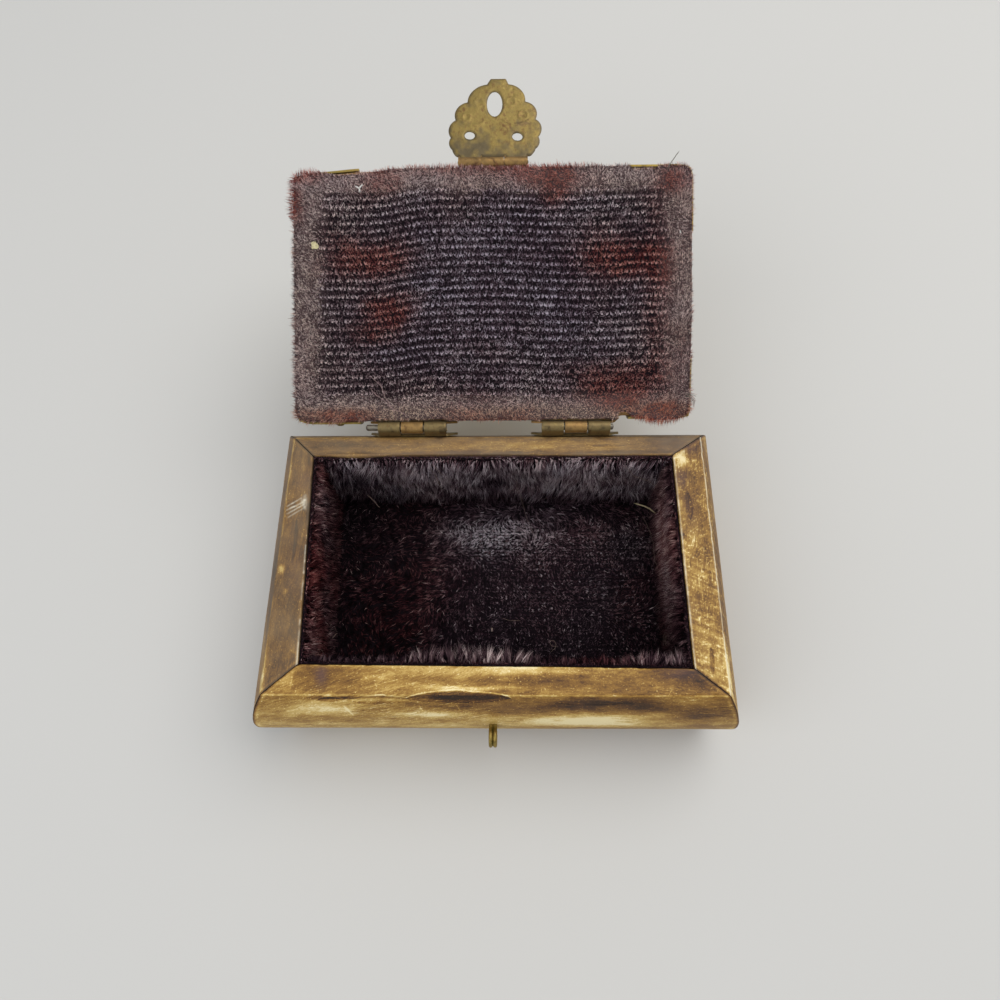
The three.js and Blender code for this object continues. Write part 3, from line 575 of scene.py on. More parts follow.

# Spots of lighter or darker bone, with one painted light band on the front wall's lower bulge: along the wall, down
# from the edge (below 0 on top), sizes, amount.
# gaps are old hollows: from and to along the wall, from and to down the face, depth, darkening, and the strength of a
# painted highlight along the upper rim.
# scratches run from (along, down) to (along, down), with a width and an amount, and so do chalky scrapes.
WALLS = {
    "front": dict(
        corners=("FL", "FR"), stations=440, seed=3, tone=0.54, turn=-0.1, slant=0.32, dust=0.02,
        # the long spot at 12 down the face is painted bounce light on the lower bulge
        light=[(8, -5.4, 9, 0.9, 0.4), (-8, -5.0, 12, 1.1, 0.2), (20, 9.5, 13, 3.2, 0.55), (-36, 4.5, 8, 2.2, 0.3),
               (-14, 6.5, 10, 1.0, 0.34), (0, 12, 60, 3.5, 0.16), (-5, -1.6, 10, 0.5, 0.42),
               (-25, 1.5, 12, 0.5, 0.3), (40, 1.3, 5, 1.4, 0.2), (-42, -3.5, 1.2, 2.5, 0.15)],
        dark=[(39, -4.6, 5.5, 1.8, 0.26), (-5.2, 0.6, 8.8, 1.1, 0.42), (22, 2.6, 12, 2.4, 0.3),
              (-37, -3.5, 9, 2.6, 0.14), (-32, 0.7, 4.5, 0.45, 0.5), (2, 4, 12, 2.4, 0.12), (44, -3, 5, 4, 0.2),
              (44, 6, 6, 4, 0.2), (-8, 3.4, 6, 0.8, 0.2), (10, -2.4, 8, 1.2, 0.1)],
        stain=[(-35.3, -4.0, 1.3, 2.2, 0.55), (4, 4.0, 6, 2, 0.12), (19, 3.0, 3, 2, 0.1), (38.5, -4.8, 4, 1.4, 0.35)],
        gaps=[(-17.6, 4.0, -0.8, 2.3, 0.26, 0.17, 0.42), (-36.0, -30.6, 0.7, 2.1, 0.24, 0.26, 0.2),
              (-30.0, -16.4, 0.3, 2.6, 0.12, 0.08, 0.3), (13.0, 27.0, 1.2, 3.0, 0.08, 0.1, 0.0)],
        scratches=[(-30.6, 3.4, -29.2, 7.0, 0.22, 0.42), (-15.0, 3.2, -14.4, 5.2, 0.16, 0.35),
                   (-7.2, 3.0, -6.6, 5.0, 0.14, 0.3), (-41.2, -4.4, -41.4, -1.2, 0.14, 0.18),
                   (-28.0, -0.8, -20.0, -3.0, 0.1, 0.16), (-24.0, -0.4, -15.0, -2.6, 0.1, 0.2),
                   (-22.0, -2.6, -12.0, -4.8, 0.09, 0.16), (0.0, -3.0, 14.0, -4.2, 0.08, 0.1),
                   (-12.0, -1.2, -2.0, -2.6, 0.1, 0.18), (-30.0, -1.6, -25.0, -3.0, 0.08, 0.14)],
        scrapes=[],
    ),
    "right": dict(
        corners=("FR", "BR"), stations=400, seed=11, tone=0.46, turn=0.06, slant=-0.1, dust=0.06,
        light=[(22.6, -4.3, 2.0, 1.3, 0.6), (-26, 0.8, 5, 1.4, 0.5), (-5, -3.0, 18, 2.2, 0.04),
               (-20, 3.0, 16, 5, 0.1)],
        dark=[(14, -3.2, 8, 2.8, 0.22), (27, -1.5, 3, 3, 0.3), (5, -1.5, 5, 1, 0.12),
              (-27, -4.5, 4, 2, 0.2), (4.6, -5.6, 0.9, 0.7, 0.4), (3, 2.4, 26, 1.8, 0.2), (10, 6, 14, 3, 0.2)],
        stain=[(27, -3.4, 3, 3, 0.5), (18.2, -5.0, 2.6, 1.2, 0.5), (10, -3.8, 5, 1.8, 0.2), (-12, -5, 2, 1, 0.2)],
        gaps=[(-26.0, -19.5, -3.2, -2.4, 0.1, 0.2, 0.1), (8.0, 15.0, -4.6, -3.2, 0.06, 0.14, 0.0)],
        scratches=[(24.0, -5.0, 22.4, -3.6, 0.3, 0.2), (5.0, -4.6, 8.0, -0.6, 0.1, 0.16),
                   (-6.0, -4.2, -3.0, -1.2, 0.1, 0.16), (-14.0, -5.0, -13.0, -2.0, 0.12, 0.12)],
        scrapes=[],
    ),
    "back": dict(
        corners=("BR", "BL"), stations=360, seed=23, tone=0.29, turn=0.12, slant=0.05, dust=0.36,
        light=[(-6, -2.6, 18, 1.4, 0.15), (-28, -2.2, 10, 1.4, 0.1), (20, -4.4, 12, 0.8, 0.1),
               (-10, 9, 20, 4, 0.3), (25, 14, 12, 4, 0.3)],
        dark=[(33, -2.5, 12, 1.6, 0.22), (0, -5.3, 60, 0.7, 0.16), (-40, -2, 6, 3, 0.2), (5, 3, 25, 2, 0.2)],
        stain=[(-41, -2.5, 4, 3, 0.4), (10, -5.5, 14, 1, 0.3)],
        gaps=[(-30.0, -22.0, -3.4, -2.6, 0.08, 0.14, 0.1)],
        scratches=[(-10.0, -4.8, 4.0, -3.6, 0.1, 0.14), (14.0, -3.0, 28.0, -2.0, 0.1, 0.14)],
        scrapes=[],
    ),
    "left": dict(
        corners=("BL", "FL"), stations=400, seed=37, tone=0.29, turn=-0.03, slant=-0.04, dust=0.32,
        light=[(-21, 0.3, 9, 0.6, 0.45), (2.8, -0.8, 1.0, 0.8, 0.55), (7.6, -2.4, 0.7, 0.6, 0.3),
               (24, 3, 10, 4, 0.2), (27.5, 0.4, 2.5, 0.8, 0.4)],
        dark=[(-26, -3, 4, 4, 0.1), (24, -3.5, 7, 3, 0.08), (-8, -6.0, 12, 0.6, 0.3), (8, 2.5, 24, 2, 0.12)],
        stain=[(-18.5, -3.8, 3.0, 1.7, 0.5), (3.0, -4.0, 4.5, 1.6, 0.32), (-6, -2.5, 6, 2.0, 0.14)],
        gaps=[(-9.0, 2.0, -3.9, -3.1, 0.08, 0.16, 0.05)],
        scratches=[(5.2, -3.6, 6.6, -3.2, 0.3, 0.12), (21.0, -5.6, 20.4, -4.4, 0.12, 0.25)],
        scrapes=[(-11.8, -0.5, -13.7, -3.7, 0.16, 0.6), (-10.9, -0.5, -12.7, -4.2, 0.2, 0.7),
                 (-10.0, -0.7, -12.2, -4.6, 0.18, 0.65), (-9.1, -1.0, -11.5, -4.8, 0.16, 0.5),
                 (-14.2, -4.7, -11.4, -4.9, 0.5, 0.75), (-13.6, -4.0, -12.4, -4.2, 0.4, 0.5)],
    ),
}


def wall_ends(names):
    """The two corner lines of a wall, from its outer edge in to its inner edge."""
    def ends(o):
        a, b = (np.where(o > 0, OUTER[k] + o * np.sign(OUTER[k]) * (SIDE_SWELL[k[1]], 1.0),
                         OUTER[k] - o / RIM * np.subtract(INNER[k], OUTER[k])) for k in names)
        way = unit(b - a)
        gap_a, gap_b = (np.where((o > 0.4) & (k == "FR"), 0.03, 0.11) for k in names)
        return a + way * gap_a, b - way * gap_b
    return ends


def hollow(u, face, gap):
    """How far a place lies inside a lens-shaped gap, and how far below its middle, in millimetres."""
    u0, u1, f0, f1 = gap[:4]
    t = np.clip((u - u0) / (u1 - u0), 0, 1)
    half = (f1 - f0) / 2 * (4 * t * (1 - t)) ** 0.7
    off = face - (f0 + f1) / 2 - 0.5 * wander(u, 0.0, 0.35, 1, int(abs(u0) * 7))
    return np.where((u > u0) & (u < u1), half - np.abs(off), -1.0), off


def scratch(u, face, mark):
    u0, f0, u1, f1, width, _ = mark
    du, df = u1 - u0, f1 - f0
    t = np.clip(((u - u0) * du + (face - f0) * df) / (du * du + df * df), 0, 1)
    away = np.hypot(u - u0 - t * du, face - f0 - t * df)
    return ridge(away, width) * (0.4 + 0.6 * np.sin(math.pi * np.clip(t, 0.02, 0.98)))


def wall_shape(name):
    spec = WALLS[name]
    seed = spec["seed"]

    def shape(u, face, o, z):
        rough = 0.16 * wander(u, face, 0.08, 0.22, seed) + 0.05 * wander(u, face, 0.7, 1.6, seed + 5, 3)
        edge = ridge(face, 0.5) + 0.8 * ridge(face + RIM, 0.35)
        rough = rough - 0.9 * edge * np.clip(wander(u, face, 0.55, 0.5, seed + 9) - 0.02, 0, 1)
        for gap in spec["gaps"]:
            rough = rough - gap[4] * ramp01(hollow(u, face, gap)[0], 0.0, 0.35)
        for mark in spec["scratches"]:
            rough = rough - 0.05 * scratch(u, face, mark)
        if name == "back":
            rough = rough + blobs(u, face, (31.5, -6.2, 5.5, 0.8, 0.5), (8, -6.2, 16, 0.6, -0.3))
        hidden = (o < -RIM + 0.3) & (z < BASE_H - 1.0)
        return np.where(hidden | (z < 0.25), 0.0, rough)
    return shape


def wall_paint(name):
    spec = WALLS[name]
    seed = spec["seed"]

    def paint(u, face, o, z):
        bent = u + 1.6 * wander(u, face, 0.12, 0.3, seed + 31), face + 1.1 * wander(u, face, 0.2, 0.4, seed + 41)
        tone = spec["tone"] + 0.34 * wander(u, face, 0.09, 0.3, seed + 1) + 0.22 * wander(u, face, 0.35, 1.2, seed + 2)
        tone = tone + spec["turn"] * ramp01(u - u.min(), 0.35 * np.ptp(u), 0.8 * np.ptp(u))
        tone = tone + blobs(*bent, *spec["light"]) - blobs(*bent, *spec["dark"])
        for gap in spec["gaps"]:
            depth, off = hollow(u, face, gap)
            tone = tone - gap[5] * ramp01(depth, 0.0, 0.2) * (1 + 0.8 * wander(u, face, 0.5, 1.2, seed + 51))
            # painted highlight along each hollow's upper rim, painted shade along its lower rim
            tone = tone + gap[6] * ridge(depth + 0.14, 0.16) * (off < 0) - 0.3 * ridge(depth - 0.02, 0.1) * (off > 0)
        for mark in spec["scratches"]:
            tone = tone + mark[5] * scratch(u, face, mark)
        broken = 0.45 + 0.55 * ramp01(wander(u, face, 0.5, 0.7, seed + 3), -0.15, 0.1)
        # a broken lighter line along both top edges: partly worn bone, partly a painted highlight
        tone = tone + broken * (0.3 * ridge(face - 0.05, 0.2) + 0.18 * ridge(face + RIM - 0.15, 0.2))
        chalk = np.zeros_like(u)
        for mark in spec["scrapes"]:
            chalk = chalk + mark[5] * scratch(u, face, mark) * (0.35 + 0.9 * noise(u * 2.4, face * 2.4, seed=seed + 84))
        inner_line = ridge(face + RIM - 0.1, 0.14)
        if name == "right":
            tone = tone + 0.2 * ramp01(noise(u * 1.9, face * 1.9, seed=seed + 81), 0.74, 0.9)
            tone = tone + 0.3 * ramp01(noise(u * 3.3, face * 3.1, seed=seed + 82), 0.8, 0.92)
            # the saw's marks run askew across the front half
            saw = noise((u + 0.54 * face) * 2.2, face * 0.3, seed=seed + 83) - 0.5
            tone = tone + 0.26 * saw * (1 - ramp01(u, 0, 10))
            # a chalky line along the outer edge: partly worn bone, partly a painted highlight
            chalk = chalk + 0.85 * ridge(face - 0.08, 0.17) * (0.35 + 0.65 * broken)
            chalk = chalk + 0.8 * inner_line * broken * (1 - ramp01(u, 21, 26))
        if name == "left":
            worn = ramp01(noise(u * 0.9, 0.0, seed=seed + 85), 0.2, 0.5) * ramp01(u, -7, -2)
            chalk = chalk + 0.7 * inner_line * broken * worn
        ends = np.minimum(np.abs(u - u[0:1]), np.abs(u - u[-1:]))
        # painted bounce light: the lower half of the bulge is made lighter; mitre joints darker, paler chips beside
        # them
        tone = tone + 0.12 * ramp01(face, 12.0, 22.0) - 0.3 * ridge(ends, 0.3) + 0.16 * broken * ridge(ends - 0.75, 0.4)
        stain = blobs(*bent, *spec["stain"]) * (1 + wander(u, face, 0.6, 0.6, seed + 7))
        slant, wave = spec["slant"], 1.1 * wander(u, face, 0.06, 0.12, seed + 13, 3)
        strong = 0.15 + 0.9 * ramp01(wander(u, face, 0.08, 0.2, seed + 61), -0.15, 0.2)
        if name == "front":
            slant = slant * ramp01(-u, -12, 10)
            strong = strong + blobs(u, face, (-20, -2.5, 14, 3.5, 0.6), (-28, 6, 16, 4, 0.5))
            tone = tone - 0.05 * ramp01(face, 0.6, 2.0) * (1 - ramp01(face, 5, 9)) * ramp01(u, -12, 4)
        return dict(tone=np.clip(tone, 0, 1.1), stain=stain, fibre=strong, chalk=chalk,
                    dust=spec["dust"] * (1 + 1.2 * wander(u, face, 0.2, 0.3, seed + 71)),
                    grain=rows_of(u, face + slant * u + 2.2 * wave, seed * 1.7))
    return paint


for side, spec in WALLS.items():
    bone_bar(f"bone_{side}_wall", SECTION, FACE, wall_ends(spec["corners"]), spec["stations"], wall_shape(side),
             wall_paint(side), "base", f"{side}_wall")


# Plush: a ground cloth glued to the wood, with its pile standing on it

def strands(name, body, roots, ways, bends, long, wide, tints, reds, casts=0.0, parts=1, order=None):
    """Closed, tapering strands of pile, in one or more pieces: each strand starts along its way and curls over by
    its bend. wide has the strands' widths, or the least and most of random ones."""
    total, made = len(roots), []
    order = np.arange(total) if order is None else order
    casts = np.broadcast_to(casts, total)
    for part in range(parts):
        pick = order[part * total // parts:(part + 1) * total // parts]
        root, way, bend, tall = roots[pick], unit(ways[pick]), bends[pick], long[pick][:, None]
        n = len(pick)
        width = (RNG.uniform(*wide, n) if isinstance(wide, tuple) else wide[pick])[:, None]
        a = unit(np.cross(way, np.where(np.abs(way[:, 2:3]) < 0.9, [[0.0, 0.0, 1.0]], [[1.0, 0.0, 0.0]])))
        b = np.cross(way, a)
        spin = RNG.uniform(0, TURN, n)[:, None]
        verts = np.zeros((n, 7, 3))
        for ring, (t, share) in enumerate(((0.0, 1.0), (0.55, 0.8))):
            for k in range(3):
                angle = spin + k * TURN / 3
                verts[:, ring * 3 + k] = root + way * tall * t + bend * tall * t * t + (
                    a * np.cos(angle) + b * np.sin(angle)) * width * share / 2
        verts[:, 6] = root + (way + bend) * tall
        first = (np.arange(n) * 7)[:, None]
        quads = np.concatenate([first + [k, (k + 1) % 3, 3 + (k + 1) % 3, 3 + k] for k in range(3)])
        tris = np.concatenate([first + [3 + k, 3 + (k + 1) % 3, 6] for k in range(3)] + [first + [2, 1, 0]])
        side = math.ceil(math.sqrt(n))
        cell = np.stack([np.arange(n) % side, np.arange(n) // side], 1)[:, None]
        spots = [[0.2, 0.1], [0.5, 0.1], [0.8, 0.1], [0.2, 0.55], [0.5, 0.55], [0.8, 0.55], [0.5, 0.92]]
        made.append(make(f"{name}_{part + 1}" if parts > 1 else name, verts.reshape(-1, 3), [quads, tris], PILE, body,
                         uv=((cell + spots) / side).reshape(-1, 2), tint=np.repeat(tints[pick], 7),
                         tip=np.tile([0.0, 0.0, 0.0, 0.55, 0.55, 0.55, 1.0], n), red=np.repeat(reds[pick], 7),
                         cast=np.repeat(casts[pick], 7)))
    return made


def jitter(n, amount):
    return RNG.normal(0, amount, (n, 3))


def lock(a, b, size, seed):
    """Pile gathers in small locks: the way to the lock's middle, and the lock's own tone."""
    i, j = np.floor(a / size).astype(np.int64), np.floor(b / size).astype(np.int64)
    ca = (i + 0.2 + 0.6 * lattice(i, j, 0, seed)) * size
    cb = (j + 0.2 + 0.6 * lattice(i, j, 1, seed)) * size
    return ca - a, cb - b, lattice(i, j, 2, seed) - 0.5


def between(c, s, t):
    """Places between four corners."""
    c, s, t = np.asarray(c, float), s[..., None], t[..., None]
    return c[0] * (1 - s) * (1 - t) + c[1] * s * (1 - t) + c[2] * s * t + c[3] * (1 - s) * t


def slab_on(name, corners, normal, thick, cells, node, seed):
    """A thin closed cloth between four corner points, its face slightly uneven."""
    s, t = np.meshgrid(*(np.linspace(0, 1, n) for n in cells), indexing="ij")
    p = between(corners, s, t)
    front = p + normal * (thick + 0.12 * wander(s, t, 9, 6, seed))[..., None]
    return make(name, np.concatenate([front.reshape(-1, 3), p.reshape(-1, 3)]), shell_faces(*cells), CLOTH, "base",
                [node], sharp=60, uv=both_faces(0.02 + 0.46 * s, 0.02 + 0.96 * t), nap=0.0)


def inset(name, amount):
    """An inner corner of the rim, moved in on both sides."""
    return tuple(c - math.copysign(amount, c) for c in INNER[name])


# The walls' linings: how loose, long and mottled their pile is, and whether it is bluer (above 0) or browner
LOW, HIGH = 5.2, 29.4
LININGS = {
    "back": dict(ends=("BL", "BR"), inward=(0, -1, 0), dense=9.3, seed=1, cast=0.5, loose=0.15, long=(1.7, 3.0),
                 mottle=0.19, over=-0.25, hem=0.42),
    "left": dict(ends=("FL", "BL"), inward=(1, 0, 0), dense=15, seed=2, cast=0.0, loose=0.2, long=(1.3, 2.4),
                 mottle=0.12, over=0.08, hem=0.24),
    "right": dict(ends=("FR", "BR"), inward=(-1, 0, 0), dense=15, seed=3, cast=-0.1, loose=0.2, long=(1.3, 2.4),
                  mottle=0.12, over=0.08, hem=0.24),
    "front": dict(ends=("FL", "FR"), inward=(0, 1, 0), dense=6, seed=4, cast=0.2, loose=0.15, long=(1.2, 2.2),
                  mottle=0.09, over=0.08, hem=0.24),
}


def back_pile(x, z):
    dx, _, own = lock(x, z * 0.45, 0.85, 61)
    lean = clumps(x, z, 61, 0.2) * 1.5
    # painted shade: darker towards the floor of the hollow
    tint = 0.6 + 0.14 * ramp01(x, -6, 8) * ramp01(z, 9, 15) * (1 - ramp01(x, 34, 41)) - 0.26 * (1 - ramp01(z, 6, 13))
    tint = tint + blobs(x, z, (-18, 24, 14, 6, 0.1), (3, 17, 6, 4, -0.2), (-32, 18, 6, 9, -0.16))
    tint = tint + 0.6 * own + 0.7 * clumps(x, z * 0.4, 62, 0.5)
    red = 0.12 + 0.3 * ramp01(z, 27.6, 29.2) + 0.4 * clumps(x, z, 63, 0.2)
    return rows_of(lean + 0.7 * dx, -0.7, -0.8), rows_of(lean + 0.5 * dx, -0.05, -0.4), tint, red


def left_pile(y, z):
    dy, dz, own = lock(y, z, 0.9, 71)
    lean = clumps(y, z, 71, 0.2)
    # painted shade and light: darker towards the floor, lighter near the rim
    tint = 0.32 + 0.6 * own + 0.5 * clumps(y, z, 72, 0.4) - 0.1 * (1 - ramp01(z, 14, 23)) + 0.1 * ramp01(z, 22, 28)
    return (rows_of(0.8, lean + 0.8 * dy, 0.1 + 0.8 * dz), rows_of(0.0, lean, -0.4), tint,
            0.48 + 1.2 * clumps(y, z, 73, 0.12))


def right_pile(y, z):
    dy, dz, own = lock(y, z, 0.9, 81)
    lean = clumps(y, z, 81, 0.2) - 0.15
    tint = 0.3 + blobs(y, z, (6, 20, 16, 9, 0.34)) + 0.6 * own + 0.4 * clumps(y, z, 82, 0.4)
    # painted shade: darker towards the floor; also darker towards the front end
    tint = tint - 0.1 * ramp01(-y, 8, 18) - 0.1 * (1 - ramp01(z, 8, 15))
    return (rows_of(-0.8, lean + 0.8 * dy, -0.05 + 0.7 * dz), rows_of(0.0, lean, -0.5), tint,
            0.35 + 0.6 * clumps(y, z, 83, 0.15))


def front_pile(x, z):
    dx, dz, own = lock(x, z, 0.9, 91)
    lean = clumps(x, z, 91, 0.2)
    return (rows_of(lean + 0.7 * dx, 0.8, -0.3 + 0.6 * dz), rows_of(lean, 0.1, -0.4),
            0.26 + 0.4 * own + 0.3 * clumps(x, z, 92, 0.4), 0.3 + 0.6 * clumps(x, z, 93, 0.15))


def wall_lining(side, pile):
    spec = LININGS[side]
    pa, pb = (inset(k, 0.1) for k in spec["ends"])
    span, inward, seed = math.dist(pa, pb), np.array(spec["inward"], float), spec["seed"]
    ground = slab_on(f"lining_{side}_cloth", [(*pa, LOW), (*pb, LOW), (*pb, HIGH), (*pa, HIGH)], inward, 0.5,
                     (int(span), 16), f"lining_{side}", seed)

    def along(s, z):
        return rows_of(pa[0] + (pb[0] - pa[0]) * s, pa[1] + (pb[1] - pa[1]) * s, z)
    n = int(span * (HIGH - LOW) * spec["dense"])
    s, t = RNG.random(n), RNG.random(n)
    root = along(s, LOW + (HIGH - LOW) * t) + inward * 0.4
    at, z = root[:, 0] if side in ("back", "front") else root[:, 1], root[:, 2]
    way, bend, tint, red = pile(at, z)
    way, bend = way + jitter(n, spec["loose"]), bend + jitter(n, 0.08)
    long = RNG.uniform(*spec["long"], n)
    tint = tint + RNG.normal(0, spec["mottle"], n)
    if side == "back":
        long = long * (1 - blobs(at, z, (-30, 28.5, 9, 2.2, 0.45)))
    if side == "left":
        tint = tint + (RNG.random(n) < 0.03) * 0.4
    # near the rim the pile stands up round the cut edge
    up = ramp01(z, 28.0, 29.3)[:, None]
    way = way * (1 - 0.75 * up) + up * ([0.0, 0.0, 0.62] - inward * 0.1)
    long = np.where(z > 28.4, np.minimum(long, 1.0), long)
    hair = strands(f"lining_{side}_pile", "base", root, way, bend, long, (0.09, 0.17), tint, np.clip(red, 0, 1),
                   spec["cast"] + 0.5 * clumps(at, z, seed + 40, 0.2))
    # the cut edge itself, against the bone
    m = int(span * 26)
    s = RNG.random(m)
    edge = along(s, RNG.uniform(29.0, 29.35, m)) + inward * RNG.uniform(0.02, 0.55, m)[:, None]
    way = [0.0, 0.0, 0.5] + inward * spec["over"] + jitter(m, 0.32)
    way[:, 2] = np.clip(way[:, 2], 0.15, 0.8)
    bend = inward * (spec["over"] + 0.15) + jitter(m, 0.15) * [1, 1, 0]
    long, width = RNG.uniform(0.35, 0.75, m), RNG.uniform(0.09, 0.16, m)
    tint = spec["hem"] + 0.4 * wander(edge[:, 0], edge[:, 1], 0.3, 0.3, seed + 30) + RNG.normal(0, 0.1, m)
    hem = strands(f"lining_{side}_hem", "base", edge, way, bend, long, width, tint,
                  np.clip(0.2 + RNG.normal(0, 0.2, m), 0, 1))


for side, pile in (("back", back_pile), ("left", left_pile), ("right", right_pile), ("front", front_pile)):
    wall_lining(side, pile)


def front_fringe():
    """Longer pile that curls over the front lining's upper edge into the hollow."""
    n, seed, size = 5600, 102, 0.4
    x = RNG.uniform(-40.2, 41.2, n)
    y = -23.0 - 0.0085 * (x + 40) + RNG.uniform(0, 0.7, n)
    root = rows_of(x, y, RNG.uniform(27.0, 29.0, n))
    tall = 0.3 + blobs(x, 0, (-7.5, 0, 10, 1, 0.75), (36, 0, 7, 1, 0.4), (6, 0, 7, 1, 0.25))
    tall = tall + 0.5 * wander(x, 0.0, 0.3, 1, 101)
    i = np.floor(x / size).astype(np.int64)
    middle, own, reach, shade = (lattice(i, 0, k, seed) for k in range(4))
    lean = 1.4 * wander(x, 3.0, 0.2, 1, 103) + 1.1 * (own - 0.5)
    way = rows_of(lean + 0.45 * ((i + 0.2 + 0.6 * middle) * size - x), 0.95, 0.22 + 0.5 * (own - 0.5)) + jitter(n, 0.1)
    bend = rows_of(lean * 0.3, 0.15, -0.42) + jitter(n, 0.06)
    long = np.clip(0.8 + 3.2 * tall, 0.6, 4.2) * (0.85 + 0.5 * reach) * RNG.uniform(0.6, 1.0, n)
    tint = 0.36 + 0.6 * (shade - 0.5) + RNG.normal(0, 0.12, n) + 0.2 * tall - 0.14 * (1 - ramp01(tall, 0.2, 0.7))
    strands("lining_front_fringe", "base", root, way, bend, long, (0.1, 0.18), tint,
            0.12 + blobs(x, 0, (22, 0, 8, 1, 0.4)))


front_fringe()


def floor_lining():
    corners = [(*inset(k, 0.35), FLOOR_TOP + 0.05) for k in CORNERS]
    ground = slab_on("lining_floor_cloth", corners, np.array([0.0, 0.0, 1.0]), 0.6, (80, 46), "lining_floor", 9)
    n = 34000
    s, t = RNG.random(n), RNG.random(n)
    x, y = between([inset(k, 1.0) for k in CORNERS], s, t).T
    dx, dy, own = lock(x, y, 0.95, 110)
    swirl = fbm(x * 0.06, y * 0.08, seed=111, octaves=3) * 9.0
    cx, cy = np.cos(swirl), np.sin(swirl)
    worn = ramp01(x, -16, 2) * (1 - ramp01(x, 34, 40)) * (1 - ramp01(y, 11, 17))
    way = rows_of(cx * 0.4 + 0.6 * dx, cy * 0.4 + 0.6 * dy, 0.9) + jitter(n, 0.26)
    bend = rows_of(cx * 0.35, cy * 0.35, -0.25)
    long = RNG.uniform(1.0, 1.9, n) * (1 - 0.45 * worn)
    tint = 0.25 + 0.12 * ramp01(x, -20, 4) - 0.12 * ramp01(-y, 8, 20) + blobs(
        x, y, (-2, 14, 15, 6, 0.52), (18, 13, 22, 6, 0.22), (-16, -4, 7, 12, 0.1), (8, 0, 24, 12, 0.08),
        (-28, -8, 12, 12, -0.08))
    weave = np.sin(y * TURN / 1.45) * 0.5 + np.sin(x * TURN / 0.85 + 0.8 * np.sin(y)) * 0.5
    tint = tint + 0.4 * own + 0.34 * clumps(x, y, 112, 0.3) + 0.1 * worn * weave + RNG.normal(0, 0.11, n)
    stray = RNG.random(n) < 0.035
    tint = tint + stray * RNG.uniform(0.2, 0.6, n)
    red = np.clip(0.2 + blobs(x, y, (-24, -4, 14, 18, 0.4)) + 0.8 * clumps(x, y, 113, 0.09), 0, 1)
    cast = 0.6 * ramp01(x, -24, -6) * (1 - 0.6 * ramp01(x, 20, 34))
    pieces = strands("lining_floor_pile", "base", rows_of(x, y, FLOOR_TOP + 0.55), way, bend,
                     long * (1 + 0.15 * stray), (0.09, 0.16), tint, red, cast, parts=2)
    # Where the pile has worn off, the rows of the weave show
    y0, x0 = np.meshgrid(np.arange(-19.5, 15.5, 1.45), np.arange(-14.0, 38.5, 0.82), indexing="ij")
    x0 = x0 + 0.41 * (np.arange(len(x0)) % 2)[:, None] + RNG.normal(0, 0.07, x0.shape)
    y0 = (y0 + 0.8 * wander(x0, y0, 0.05, 0.04, 115) + RNG.normal(0, 0.1, x0.shape)).ravel()
    x0 = x0.ravel()
    keep = RNG.random(len(x0)) < 0.2 + 0.65 * ramp01(x0, -14, 6)
    x0, y0, each = x0[keep], y0[keep], 4
    own = np.repeat(RNG.normal(0, 0.16, len(x0)), each)
    m = len(own)
    x, y = np.repeat(x0, each) + RNG.normal(0, 0.09, m), np.repeat(y0, each) + RNG.normal(0, 0.09, m)
    way = rows_of(RNG.normal(0, 0.3, m), -0.1 + RNG.normal(0, 0.3, m), 0.9)
    tint = 0.42 + own + 0.12 * ramp01(y, -16, 4) + 0.3 * clumps(x, y, 117, 0.25) + RNG.normal(0, 0.08, m)
    red = np.clip(0.1 + 0.8 * clumps(x, y, 118, 0.1), 0, 1)
    pieces += strands("lining_floor_tufts", "base", rows_of(x, y, FLOOR_TOP + 0.7), way,
                      np.tile([0.0, 0.0, -0.2], (m, 1)), RNG.uniform(0.6, 0.95, m), (0.14, 0.22), tint, red, 0.5)


floor_lining()


# The lid's lining, in the closed lid's frame: its face looks down, so the pile points to -Z

FIELD = (-39.9, 39.5, -23.7, 23.3)  # the worn middle, by x and y
PITCH, STEP = 1.86, 1.03  # of the weave's rows, and of the knots in a row
CLOTH_LEFT, CLOTH_RIGHT, CLOTH_DEEP, CLOTH_CORNER = LID_X + 0.55, LID_X + 0.25, LID_Y + 0.15, 0.6
CLOTH_TOP, CLOTH_FACE, ROOTS = -0.03, -1.05, -1.0

# Spots, as for blobs: red-brown where the dye has turned, lighter, bare at the edge, and standing further out
RED_SPOTS = [
    (-29, -7.6, 9, 3.6, 0.95), (-34, -12.6, 6, 2.5, 0.4), (-23, -11, 4, 2.5, 0.35), (-24, 3.4, 6, 4, 1.0),
    (-27, 9.0, 6, 3, 0.55), (30, -7.6, 10, 4.2, 1.1), (28, 20.5, 11, 4.6, 0.8), (29, 24, 7, 2.5, 0.6),
    (37, 0, 3, 22, 0.4), (14, -24.4, 4, 3.6, 0.95), (-25, -26, 4, 3.6, 0.6), (-8, -28.4, 14, 1.8, 0.45),
    (11, -27.4, 9, 2.6, 0.7), (41.5, -26, 3.4, 3.2, 1.0), (38, 28.2, 8, 2.2, 0.9), (-36, 27.6, 8, 1.5, 0.9),
    (-46, -21, 2.2, 4, 1.2), (0, 28.0, 12, 2.4, 0.5), (-44, -28.2, 5, 1.6, 0.7), (-2, 23.5, 6, 2, 0.25),
    (43.5, 14, 2.0, 8, 0.2), (24, -14, 8, 3, 0.15),
]
LIGHT_SPOTS = [(-44, 16, 3, 8, 0.06), (44, -8, 2.5, 20, 0.12), (0, -27.2, 50, 2.6, 0.16), (0, 26.8, 46, 2.6, 0.18),
               (30, 26, 12, 4, 0.1)]
BARE = [(34.4, -28.6, 3.6, 2.0, 1.0), (-33, -28.0, 4.4, 2.4, 1.0), (45.2, -4.2, 2.0, 5.6, 1.0)]
